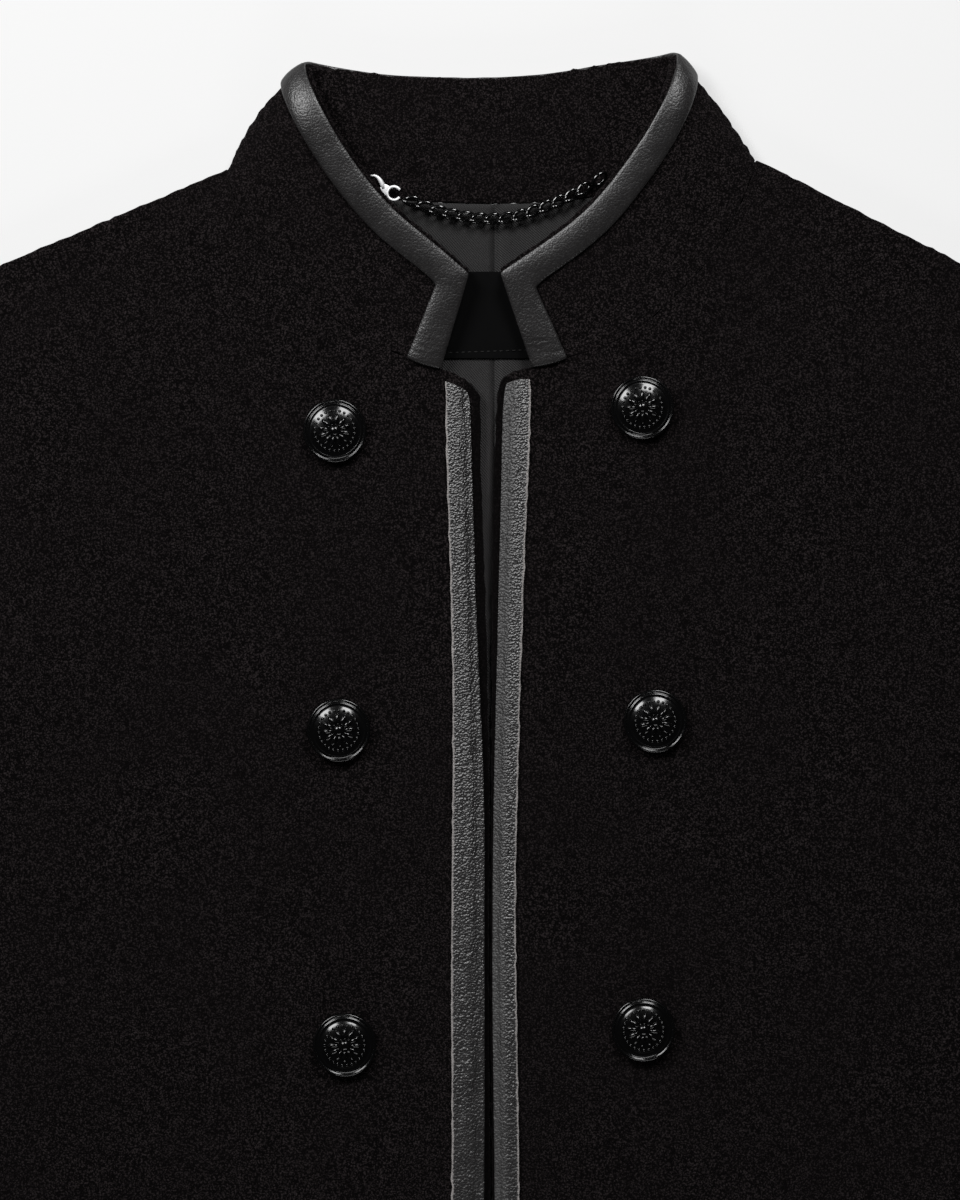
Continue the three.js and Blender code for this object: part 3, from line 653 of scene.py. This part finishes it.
class JACKET_OT_stage(bpy.types.Operator):
    """Lays the floor, sets the lights and points the camera straight down at the collar and fronts"""

    bl_idname = "jacket.stage"
    bl_label = "Stage"

    def execute(self, context):
        stage = context.scene.jacket_stage
        self.floor(stage)
        self.lights(context.scene, stage)
        self.camera(context.scene, stage)
        context.scene.view_settings.view_transform = "Standard"
        return {"FINISHED"}

    def floor(self, stage):
        """A broad plane under the jacket."""
        made = bmesh.new()
        bmesh.ops.create_grid(made, x_segments=8, y_segments=8, size=FLOOR_HALF)
        floor = piece_from(made, "floor", floor_finish(stage.floor_tone, stage.floor_glow))

    def lights(self, scene, stage):
        """Two softboxes past the collar, a low light past the hem and a faint fill from all round."""
        for row in LIGHTS:
            light = bpy.data.lights.new(row["name"], "AREA")
            light.shape = "RECTANGLE"
            light.size, light.size_y = row["size"]
            light.energy = getattr(stage, row["power"])
            lamp = bpy.data.objects.new(row["name"], light)
            lamp.location = row["at"]
            lamp.rotation_euler = (lamp.location - LIGHTS_AIM).to_track_quat("Z", "Y").to_euler()
            scene.collection.objects.link(lamp)
        world = bpy.data.worlds.new("studio")
        world.use_nodes = True
        background = world.node_tree.nodes["Background"]
        background.inputs["Color"].default_value = (1.0, 1.0, 1.0, 1.0)
        background.inputs["Strength"].default_value = stage.fill
        scene.world = world

    def camera(self, scene, stage):
        """A camera straight above the middle of the picture."""
        data = bpy.data.cameras.new("camera")
        data.sensor_fit = "VERTICAL"
        data.lens = data.sensor_height * stage.distance / stage.picture_height
        camera = bpy.data.objects.new("camera", data)
        camera.location = place(*PICTURE_MIDDLE) + Vector((0, 0, stage.distance))
        scene.collection.objects.link(camera)
        scene.camera = camera


# Fronts: how far from the middle their edges can lie, how dark the painted shade along them is and
# between which distances from the edge that fades, and how near the hem a front's lowest corner is

EDGE_WITHIN = 24 * MM
EDGE_SHADE = 0.85
EDGE_SHADE_FADES = (2.0 * MM, 4.0 * MM)
HEM_REACH = 20 * MM


class JACKET_OT_body(bpy.types.Operator):
    """Makes the wool back and fronts"""

    bl_idname = "jacket.body"
    bl_label = "Back and fronts"

    def execute(self, context):
        wool = context.scene.jacket_wool
        finish = wool_finish("boiled_wool", wool)
        self.back(finish, wool)
        for side in ("left", "right"):
            node = "front_" + side
            made = quad_copy(node)
            edge = self.cut_edge(made, 1 if side == "left" else -1)
            crease_rims(made)
            piece = subdivided(piece_from(made, node + "_wool", finish))
            self.mat(piece, edge)
            declared(reshaped(piece, wool_rule(wool)), node)
        return {"FINISHED"}

    def cut_edge(self, made, inward):
        """Places along a front's edge, from the hem to the neck."""
        hem = min(vertex.co.y for vertex in made.verts) + HEM_REACH
        corners = [vertex for vertex in made.verts if len(vertex.link_edges) == 3 and vertex.co.y < hem]
        start = max(corners, key=lambda vertex: inward * vertex.co.x + vertex.co.z)
        upward = max(start.link_edges, key=lambda edge: edge.other_vert(start).co.y)
        return [vertex.co.copy() for vertex in line_from(start, upward)]

    def mat(self, piece, edge):
        """Keeps on each point its share of painted shade, which the wool gets only along its edge."""
        matted = piece.data.attributes.new("matted", "FLOAT", "POINT")
        runs = list(zip(edge, edge[1:]))
        for index, vertex in enumerate(piece.data.vertices):
            if abs(vertex.co.x) < EDGE_WITHIN:
                beside = min(segment_distance(vertex.co, one, two)[0] for one, two in runs)
                matted.data[index].value = EDGE_SHADE * (1 - smoothstep(beside, *EDGE_SHADE_FADES))

    def back(self, finish, wool):
        """The back, lumpy on its upper face and flat where it lies."""
        piece = piece_from(celled_copy("back", 9 * MM), "back_wool", finish)

        def rule(point, outward, index):
            loose = 0.0 if outward.z < 0.5 else lumps(point) * wool.lump
            return outward * loose

        declared(reshaped(piece, rule), "back")


class JACKET_OT_sleeves(bpy.types.Operator):
    """Makes the two wool sleeves"""

    bl_idname = "jacket.sleeves"
    bl_label = "Sleeves"

    def execute(self, context):
        wool = context.scene.jacket_wool
        finish = wool_finish("sleeve_wool", wool)
        for side in ("left", "right"):
            node = "sleeve_" + side
            made = quad_copy(node)
            long = [edge for edge in made.edges if edge.calc_length() > 24 * MM]
            bmesh.ops.subdivide_edges(made, edges=long, cuts=3, use_grid_fill=True)
            crease_rims(made)
            piece = subdivided(piece_from(made, node + "_wool", finish), levels=2)
            declared(reshaped(piece, wool_rule(wool)), node)
        return {"FINISHED"}


class JACKET_OT_collar(bpy.types.Operator):
    """Makes the stand collar and its wool facing"""

    bl_idname = "jacket.collar"
    bl_label = "Collar"

    def execute(self, context):
        wool = context.scene.jacket_wool
        finish = wool_finish("collar_wool", wool, lift=1.05)
        for node, lap in (("collar", 0.0), ("collar_facing", 2.3 * MM)):
            made = quad_copy(node)
            crease_rims(made)
            piece = subdivided(piece_from(made, node + "_wool", finish))
            declared(reshaped(piece, self.rule(wool, lap, *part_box(node))), node)
        return {"FINISHED"}

    def rule(self, wool, lap, low, high):
        """Lumps, and for the facing a fuzzy top edge and a lower edge that laps over the lining's."""
        def rule(point, outward, index):
            near = 1 - smoothstep(point.y, low.y + 1 * MM, low.y + 5 * MM)
            edge = smoothstep(point.y, high.y - 9 * MM, high.y - 1 * MM) if lap else 0.0
            lumpy = lumps(point) * wool.lump * (1.9 + 1.0 * edge)
            fuzzy = rim_growth(point, outward) * (1 + 1.2 * edge)
            return outward * (lumpy + fuzzy) + near * Vector((0, -lap, 0.15 * lap))
        return rule


# Where the leather's measuring starts: the corner nearest to a place past the hem, on either side of
# the gap, for the strips, and nearest to a place at the left end for the collar's binding

STRIP_ACROSS = 12 * MM
PAST_HEM_Y = -0.4
TRIM_CORNER = (-17.8, 60.0, 9)

# How the leather lies: how far each strip spreads lower down and between which distances from the
# neck that starts, the shares of its width over which it spreads, rolls down and is ragged, and the
# binding's reach over the edge with its wrinkles, which gather at a distance from its ends

STRIP_SPREAD = {"left": 2.8 * MM, "right": 0.4 * MM}
SPREAD_DOWN = (140 * MM, 240 * MM)
SPREAD_ACROSS = (0.3, 1.0)
ROLL_DROP = 0.8 * MM
ROLL_ACROSS = (0.6, 0.84)
STRIP_LIFT = 0.12 * MM
RAGGED_ACROSS = (0.0, 0.2)
TRIM_REACH = 0.8 * MM
GATHER = {"at": 7 * MM, "reach": 5 * MM, "height": 0.16 * MM, "pitch": 0.42 * MM, "slant": 2.0}


class JACKET_OT_leather(bpy.types.Operator):
    """Makes the leather strips of the fronts and the binding of the collar"""

    bl_idname = "jacket.leather"
    bl_label = "Leather"

    def execute(self, context):
        leather = context.scene.jacket_leather
        for side, outward in (("left", -1), ("right", 1)):
            node = "strip_" + side
            made = quad_copy(node)
            measured(made, Vector((outward * STRIP_ACROSS, PAST_HEM_Y, 0.0)))
            crease_rims(made)
            finish = leather_finish("leather_" + side, leather)
            piece = subdivided(piece_from(made, node + "_leather", finish))
            rule = self.rolled(piece, -outward * STRIP_SPREAD[side])
            declared(reshaped(piece, rule), node)
        made = quad_copy("collar_trim")
        self.wrap(measured(made, place(*TRIM_CORNER)))
        crease_rims(made, crease=0.7)
        finish = leather_finish("leather_collar", leather)
        piece = subdivided(piece_from(made, "collar_trim_leather", finish))
        declared(reshaped(piece, self.puffed(piece, leather)), "collar_trim")
        return {"FINISHED"}

    def wrap(self, rows):
        """Carries the binding's folded edge over the collar's edge."""
        for upper, lower in rows:
            reach = TRIM_REACH * (upper[0].co - upper[1].co).normalized()
            upper[0].co += reach
            lower[0].co += reach

    def rolled(self, piece, spread):
        """A strip that rolls down towards its folded edge and spreads over it lower down."""
        across = piece.data.attributes["across"].data
        shares = [item.value for item in across]

        def rule(point, outward, index):
            share = shares[index]
            drop = ROLL_DROP * smoothstep(share, *ROLL_ACROSS)
            lift = STRIP_LIFT + uneven(point, "strip_wave")
            lower = smoothstep(NECK_SEAM_Y - point.y, *SPREAD_DOWN)
            ragged = uneven(point, "strip_ragged") * (1 - smoothstep(share, *RAGGED_ACROSS))
            return Vector((spread * lower * smoothstep(share, *SPREAD_ACROSS) + ragged, 0, lift - drop))
        return rule

    def puffed(self, piece, leather):
        """A binding that stands up along its middle and turns down at both edges."""
        shares = [item.value for item in piece.data.attributes["across"].data]
        lengths = [item.value for item in piece.data.attributes["along"].data]
        whole = max(lengths)

        def rule(point, outward, index):
            share = shares[index]
            rise = leather.puff * math.sin(math.pi * min(max(share, 0.0), 1.0)) ** 0.7
            to_end = min(lengths[index], whole - lengths[index])
            near = math.exp(-(((to_end - GATHER["at"]) / GATHER["reach"]) ** 2))
            bend = uneven(point, "trim_bend") + GATHER["slant"] * share
            gather = GATHER["height"] * near * math.sin(to_end / GATHER["pitch"] + bend)
            facing = smoothstep(outward.z, -0.2, 0.3)
            return outward * facing * (rise + uneven(point, "trim_wave") + gather)
        return rule


def straight_on(vertex, edge):
    """The edge that goes straight on where four edges meet, or None at a corner."""
    if len(vertex.link_edges) != 4:
        return None
    beside = set(edge.link_faces)
    for other in vertex.link_edges:
        if other is not edge and not beside & set(other.link_faces):
            return other
    return None


def line_from(vertex, edge):
    """The vertices met going straight on from a vertex, up to a corner or once round."""
    line = [vertex]
    while edge is not None:
        following = edge.other_vert(line[-1])
        if following is vertex:
            break
        line.append(following)
        edge = straight_on(following, edge)
    return line


def measured(made, start):
    """Keeps on each point of a wall its share across and its distance along, from the corner near start.

    Returns the wall's rows, each as its upper and its lower line of points."""
    across_layer = made.verts.layers.float.new("across")
    along_layer = made.verts.layers.float.new("along")
    corners = [vertex for vertex in made.verts if len(vertex.link_edges) == 3]
    corner = min(corners, key=lambda vertex: (vertex.co - start).length)
    thin, across, along = sorted(corner.link_edges, key=lambda edge: edge.calc_length())
    columns = len(line_from(corner, across))
    lines = []
    for first in (corner, thin.other_vert(corner)):
        edges = sorted(first.link_edges, key=lambda edge: edge.calc_length())
        lines.append(line_from(first, edges[2]))
    rims = set(lines[0]) | set(lines[1])
    rows = ([], [])
    for line, found in zip(lines, rows):
        distance = 0.0
        for index, vertex in enumerate(line):
            distance += (vertex.co - line[index - 1].co).length if index else 0.0
            outward = [edge for edge in vertex.link_edges if edge.other_vert(vertex) not in rims]
            row = line_from(vertex, outward[0])[:columns]
            for column, member in enumerate(row):
                member[across_layer] = column / (columns - 1)
                member[along_layer] = distance
            found.append(row)
    return [sorted(pair, key=lambda row: -row[0].co.z) for pair in zip(*rows)]


# Lining: the turn of each half's ribs in radians, where the seam between the halves lies, how it dips
# and closes, the slow folds' width and length, and the sinking of the edge at the neck

TWILL_TURNS = {"left": -0.72, "right": -0.86}
LINING_SEAM_X = 2.4 * MM
SEAM_DIP = {"depth": 0.2 * MM, "width": 0.8 * MM}
SEAM_CLOSING = {"by": 0.16 * MM, "within": 0.3 * MM}
FOLDS = {"height": 0.35 * MM, "width": 9 * MM, "length": 60 * MM}
NECK_EDGE = {"sinks": 0.7 * MM, "from": 8 * MM, "to": 1 * MM}


class JACKET_OT_lining(bpy.types.Operator):
    """Makes the two halves of the twill lining and the bare label"""

    bl_idname = "jacket.lining"
    bl_label = "Lining and label"

    def execute(self, context):
        lining = context.scene.jacket_lining
        for side, turn in TWILL_TURNS.items():
            node = "lining_" + side
            finish = lining_finish("twill_" + side, lining, turn)
            piece = piece_from(celled_copy(node, 3 * MM), node + "_twill", finish)
            declared(reshaped(piece, self.rule(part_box(node)[1].y)), node)
        self.label(lining)
        return {"FINISHED"}

    def rule(self, top):
        """A seam that dips, slow folds down the length, and an edge that sinks at the neck."""
        def rule(point, outward, index):
            if outward.z < 0.3:
                return Vector((0, 0, 0))
            beside = point.x - LINING_SEAM_X
            dip = SEAM_DIP["depth"] * math.exp(-((beside / SEAM_DIP["width"]) ** 2))
            near_seam = abs(beside) < SEAM_CLOSING["within"]
            closing = -math.copysign(SEAM_CLOSING["by"], beside) if near_seam else 0.0
            at_fold = Vector((point.x / FOLDS["width"], point.y / FOLDS["length"], 0.0))
            fold = FOLDS["height"] * noise.noise(at_fold)
            sink = NECK_EDGE["sinks"] * smoothstep(point.y, top - NECK_EDGE["from"], top - NECK_EDGE["to"])
            return Vector((closing, 0, fold - dip - sink))
        return rule

    def label(self, lining):
        """A bare satin patch with its lower edge stitched down."""
        made = quad_copy("label")
        bmesh.ops.subdivide_edges(made, edges=made.edges[:], cuts=2, use_grid_fill=True)
        crease_rims(made, crease=0.9)
        low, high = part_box("label")
        piece = subdivided(piece_from(made, "label_satin", label_finish(lining)))

        def rule(point, outward, index):
            hem = 0.25 * MM * math.exp(-(((point.y - low.y - 3 * MM) / (0.7 * MM)) ** 2))
            wave = uneven(point, "label_wave")
            return Vector((0, 0, wave - hem)) * smoothstep(outward.z, 0, 0.5)

        declared(reshaped(piece, rule), "label")
        self.stitches(low, high)

    def stitches(self, low, high):
        """A line of visible stitches along the label's lower edge, slanting a little."""
        made = bmesh.new()
        pitch = 2.3 * MM
        slant = 0.035
        half = (0.75 * MM, 0.2 * MM, 0.16 * MM)
        first = Vector((low.x + 2.6 * MM, low.y + 1.6 * MM, high.z + 0.02 * MM))
        for index in range(int((high.x - low.x - 4 * MM) / pitch)):
            middle = first + index * pitch * Vector((1, slant, 0))
            bead(made, Matrix.Translation(middle) @ Matrix.Rotation(slant, 4, "Z"), half, 8, 6)
        thread = piece_from(made, "label_stitches", thread_finish())
        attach(thread, BODY)


# Buttons: how far each is turned on its shank in radians, the section of its shell as radius and
# height, and the relief on its face, each as its middle and half sizes, in millimetres

BUTTON_TURNS = {
    "left_1": 0.35, "left_2": 0.1, "left_3": 0.0, "left_4": 0.2,
    "right_1": -0.5, "right_2": -0.75, "right_3": -0.1, "right_4": 0.3,
}
BUTTON_SECTION = [
    (0.0, 0.0), (8.4, 0.0), (9.6, 0.25), (10.9, 1.2), (11.35, 1.7), (11.5, 2.2), (11.4, 2.6),
    (11.15, 2.85), (10.85, 2.92), (10.6, 2.78), (10.4, 2.56), (10.2, 2.56), (10.0, 2.76),
    (9.75, 2.92), (9.5, 2.93), (9.3, 2.85), (9.1, 2.82), (8.4, 3.17), (7.6, 3.49), (6.8, 3.75),
    (6.0, 3.96), (5.0, 4.18), (4.0, 4.36), (2.6, 4.53), (1.3, 4.61), (0.0, 4.64),
]
SPIN_STEPS = 96
PETAL = {"at": (4.1, 0, 4.3), "half": (2.15, 0.86, 0.85)}
PETAL_LEAN = math.radians(8)
PELLET = {"at": (7.2, 0, 3.6), "half": (0.6, 0.6, 0.6)}
BOSS = {"at": (0, 0, 4.5), "half": (1.8, 1.8, 0.95)}


class JACKET_OT_buttons(bpy.types.Operator):
    """Makes the eight domed metal buttons"""

    bl_idname = "jacket.buttons"
    bl_label = "Buttons"

    def execute(self, context):
        metal = context.scene.jacket_metal
        finish = metal_finish("black_enamel", metal.enamel, roughness=0.13, scuffed=0.1)
        for which, turn in BUTTON_TURNS.items():
            node = "button_" + which
            low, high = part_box(node)
            middle = Vector(((low.x + high.x) / 2, (low.y + high.y) / 2, low.z))
            seat = Matrix.Translation(middle) @ Matrix.Rotation(turn, 4, "Z")
            made = self.button(metal)
            bmesh.ops.transform(made, verts=made.verts[:], matrix=seat)
            placed(piece_from(made, node + "_metal", finish), node)
        return {"FINISHED"}

    def button(self, metal):
        """A domed button: turned shell with a double rim, a rosette and a ring of pellets."""
        made = bmesh.new()
        verts = [made.verts.new((radius * MM, 0, up * MM)) for radius, up in BUTTON_SECTION]
        edges = [made.edges.new(pair) for pair in zip(verts, verts[1:])]
        bmesh.ops.spin(
            made, geom=verts + edges, cent=(0, 0, 0), axis=(0, 0, 1), angle=2 * math.pi,
            steps=SPIN_STEPS, use_merge=True)
        bmesh.ops.remove_doubles(made, verts=made.verts[:], dist=MERGE)
        bmesh.ops.recalc_face_normals(made, faces=made.faces[:])
        lean = Matrix.Rotation(PETAL_LEAN, 4, "Y")
        petal, pellet, boss = (Matrix.Translation(MM * Vector(row["at"])) for row in (PETAL, PELLET, BOSS))
        for turn in self.round_turns(metal.petals):
            bead(made, turn @ petal @ lean, MM * Vector(PETAL["half"]), 12, 8)
        for turn in self.round_turns(metal.pellets):
            shape = turn @ pellet @ Matrix.Diagonal((*(MM * Vector(PELLET["half"])), 1.0))
            bmesh.ops.create_icosphere(made, subdivisions=2, radius=1.0, matrix=shape)
        bead(made, boss, MM * Vector(BOSS["half"]), 20, 10)
        return made

    def round_turns(self, count):
        """Equal turns about the button's middle."""
        return [Matrix.Rotation(2 * math.pi * index / count, 4, "Z") for index in range(count)]


# Hanger chain: its points and those of the clasp's hook, in millimetres across, down and up, how each
# link is turned and tilted, the wire of links and rings, and the clasp's block with its rounded edge

CHAIN_ROUTE = [
    (-27.6, -0.4, 6.5), (-18.8, 2.9, 6.3), (-9.1, 5.1, 6.1), (1.1, 6.0, 6.0),
    (10.5, 5.0, 6.1), (21.4, 1.4, 6.3), (28.6, -1.6, 6.6), (34.6, -4.7, 6.8),
]
HOOK = [
    {"at": (-38.0, -5.0, 6.6), "radius": 0.75}, {"at": (-38.3, -6.6, 6.9), "radius": 0.85},
    {"at": (-39.0, -7.9, 7.2), "radius": 0.75}, {"at": (-40.0, -9.1, 7.4), "radius": 0.55},
    {"at": (-41.2, -9.7, 7.4), "radius": 0.42}, {"at": (-42.5, -9.6, 7.2), "radius": 0.3},
]
LINK_PITCH = 5 * MM
LINK = {"radius": 1.5 * MM, "wire": 0.76 * MM, "around": 28, "section": 10, "stretch": 2.1, "twist": 0.9}
LINK_TURN = 0.34
LINK_TILT = 0.4
END_RING = {"radius": 1.9 * MM, "wire": 0.62 * MM, "around": 32, "section": 12, "stretch": 1.6}
END_RING_AT = (40.4, -8.4, 6.9)
END_RING_TURN = 0.72
END_RING_TILT = 0.75
CLASP_RING = {"at": (-34.1, -3.3, 6.6), "radius": 2.45 * MM, "wire": 0.5 * MM}
CLASP_TURNS = [math.radians(28 + 13.5 * step) for step in range(23)]
BLOCK = {"at": (-37.9, -4.3, 6.5), "turn": 1.15, "size": (4.8 * MM, 2.9 * MM, 1.3 * MM), "edge": 0.35 * MM}
CURVE_STEPS = 24
BAR_SIDES = 12
TINY = 1e-9


def route_places(points, count):
    """Places at equal steps along a smooth line through points, each with the line's direction there."""
    fine = []
    padded = [2 * points[0] - points[1], *points, 2 * points[-1] - points[-2]]
    for before, start, end, after in zip(padded, padded[1:], padded[2:], padded[3:]):
        for step in range(CURVE_STEPS):
            t = step / CURVE_STEPS
            fine.append(0.5 * (2 * start + (end - before) * t
                               + (2 * before - 5 * start + 4 * end - after) * t * t
                               + (3 * start - before - 3 * end + after) * t * t * t))
    fine.append(points[-1].copy())
    lengths = [0.0]
    for one, two in zip(fine, fine[1:]):
        lengths.append(lengths[-1] + (two - one).length)
    found = []
    for index in range(count + 1):
        wanted = lengths[-1] * index / count
        last = max(step for step in range(len(fine) - 1) if lengths[step] <= wanted + TINY)
        span = fine[last + 1] - fine[last]
        share = (wanted - lengths[last]) / max(lengths[last + 1] - lengths[last], TINY)
        found.append((fine[last] + span * share, span.normalized()))
    return found


def wire_ring(made, matrix, radius, wire, around, section, stretch=1.0, twist=0.0):
    """A closed ring of round wire, stretched along X and twisted as a curb link is."""
    start = len(made.verts)
    circle = bmesh.ops.create_circle(
        made, segments=section, radius=wire,
        matrix=Matrix.Translation((radius, 0, 0)) @ Matrix.Rotation(math.pi / 2, 4, "X"))
    bmesh.ops.spin(
        made, geom=circle["verts"] + edges_of(circle["verts"]), cent=(0, 0, 0), axis=(0, 0, 1),
        angle=2 * math.pi, steps=around, use_merge=True)
    made.verts.ensure_lookup_table()
    ring = made.verts[start:]
    for vertex in ring:
        reach = math.hypot(vertex.co.x, vertex.co.y)
        vertex.co.x += vertex.co.x / max(reach, TINY) * radius * (stretch - 1)
        angle = twist * vertex.co.x / (radius * stretch)
        vertex.co = Matrix.Rotation(angle, 3, "X") @ vertex.co
    bmesh.ops.transform(made, verts=ring, matrix=matrix)


def swept(made, places, radii):
    """A round bar along places, with its radius at each, closed at both ends."""
    loops = []
    for index, (at, radius) in enumerate(zip(places, radii)):
        before = places[max(index - 1, 0)]
        after = places[min(index + 1, len(places) - 1)]
        matrix = Matrix.Translation(at) @ (after - before).to_track_quat("Z", "Y").to_matrix().to_4x4()
        ends = index in (0, len(places) - 1)
        ring = bmesh.ops.create_circle(
            made, segments=BAR_SIDES, radius=radius, matrix=matrix, cap_ends=ends)
        loops.append(edges_of(ring["verts"]))
    for one, two in zip(loops, loops[1:]):
        bmesh.ops.bridge_loops(made, edges=one + two)


class JACKET_OT_chain(bpy.types.Operator):
    """Makes the hanger chain, its bright clasp and the ring at its other end"""

    bl_idname = "jacket.chain"
    bl_label = "Hanger chain"

    def execute(self, context):
        metal = context.scene.jacket_metal
        black = metal_finish("chain_black", metal.enamel, roughness=0.12, scuffed=0.08, gloss=1.0)
        bright = metal_finish(
            "bright_plate", metal.plate, roughness=0.35, scuffed=0.1, metallic=0.2, gloss=1.0)
        self.links(black)
        self.clasp(bright)
        self.end_ring(black)
        return {"FINISHED"}

    def links(self, finish):
        """Curb links that lie each against the next."""
        made = bmesh.new()
        points = [place(*point) for point in CHAIN_ROUTE]
        length = sum((two - one).length for one, two in zip(points, points[1:]))
        for at, along in route_places(points, round(length / LINK_PITCH)):
            turn = math.atan2(along.y, along.x) + LINK_TURN
            lie = Matrix.Rotation(turn, 4, "Z") @ Matrix.Rotation(LINK_TILT, 4, "Y")
            wire_ring(made, Matrix.Translation(at) @ lie, **LINK)
        bmesh.ops.recalc_face_normals(made, faces=made.faces[:])
        placed(piece_from(made, "chain_links", finish), "chain")

    def clasp(self, finish):
        """An open ring, a flat block and a hook that curls away from it."""
        made = bmesh.new()
        middle = place(*CLASP_RING["at"])
        reach = CLASP_RING["radius"]
        ring = [middle + reach * Vector((math.cos(turn), math.sin(turn), 0)) for turn in CLASP_TURNS]
        swept(made, ring, [CLASP_RING["wire"]] * len(ring))
        swept(made, [place(*row["at"]) for row in HOOK], [row["radius"] * MM for row in HOOK])
        lie = Matrix.Translation(place(*BLOCK["at"])) @ Matrix.Rotation(BLOCK["turn"], 4, "Z")
        cube = bmesh.ops.create_cube(made, size=1.0, matrix=lie @ Matrix.Diagonal((*BLOCK["size"], 1.0)))
        bmesh.ops.bevel(
            made, geom=edges_of(cube["verts"]), offset=BLOCK["edge"], segments=3, profile=0.5,
            material=-1, affect="EDGES")
        bmesh.ops.recalc_face_normals(made, faces=made.faces[:])
        placed(piece_from(made, "chain_clasp_metal", finish), "chain_clasp")

    def end_ring(self, finish):
        """The small ring sewn at the chain's other end."""
        made = bmesh.new()
        standing = Matrix.Rotation(END_RING_TURN, 4, "Z") @ Matrix.Rotation(END_RING_TILT, 4, "X")
        wire_ring(made, Matrix.Translation(place(*END_RING_AT)) @ standing, **END_RING)
        placed(piece_from(made, "chain_end_ring", finish), "chain_end")


class JACKET_PT_panel(bpy.types.Panel):
    """Lists the jacket's operators and settings"""

    bl_idname = "JACKET_PT_panel"
    bl_label = "Napoleon jacket"
    bl_space_type = "VIEW_3D"
    bl_region_type = "UI"
    bl_category = "Jacket"

    def draw(self, context):
        for operator in OPERATORS:
            self.layout.operator(operator.bl_idname)
        for name, group in GROUPS.items():
            box = self.layout.box()
            settings = getattr(context.scene, name)
            for key in group.__annotations__:
                box.prop(settings, key)


GROUPS = {
    "jacket_wool": JacketWool,
    "jacket_leather": JacketLeather,
    "jacket_lining": JacketLining,
    "jacket_metal": JacketMetal,
    "jacket_stage": JacketStage,
}
OPERATORS = (
    JACKET_OT_stage,
    JACKET_OT_body,
    JACKET_OT_sleeves,
    JACKET_OT_collar,
    JACKET_OT_leather,
    JACKET_OT_lining,
    JACKET_OT_buttons,
    JACKET_OT_chain,
)


def register():
    """Registers the settings, the operators and the panel."""
    for name, group in GROUPS.items():
        bpy.utils.register_class(group)
        setattr(bpy.types.Scene, name, bpy.props.PointerProperty(type=group))
    for operator in OPERATORS:
        bpy.utils.register_class(operator)
    bpy.utils.register_class(JACKET_PT_panel)


def unregister():
    """Takes away what register added."""
    bpy.utils.unregister_class(JACKET_PT_panel)
    for operator in reversed(OPERATORS):
        bpy.utils.unregister_class(operator)
    for name, group in reversed(list(GROUPS.items())):
        delattr(bpy.types.Scene, name)
        bpy.utils.unregister_class(group)


def main():
    """Makes every piece."""
    register()
    bpy.ops.jacket.stage()
    bpy.ops.jacket.body()
    bpy.ops.jacket.sleeves()
    bpy.ops.jacket.collar()
    bpy.ops.jacket.leather()
    bpy.ops.jacket.lining()
    bpy.ops.jacket.buttons()
    bpy.ops.jacket.chain()


if __name__ == "__main__":
    main()
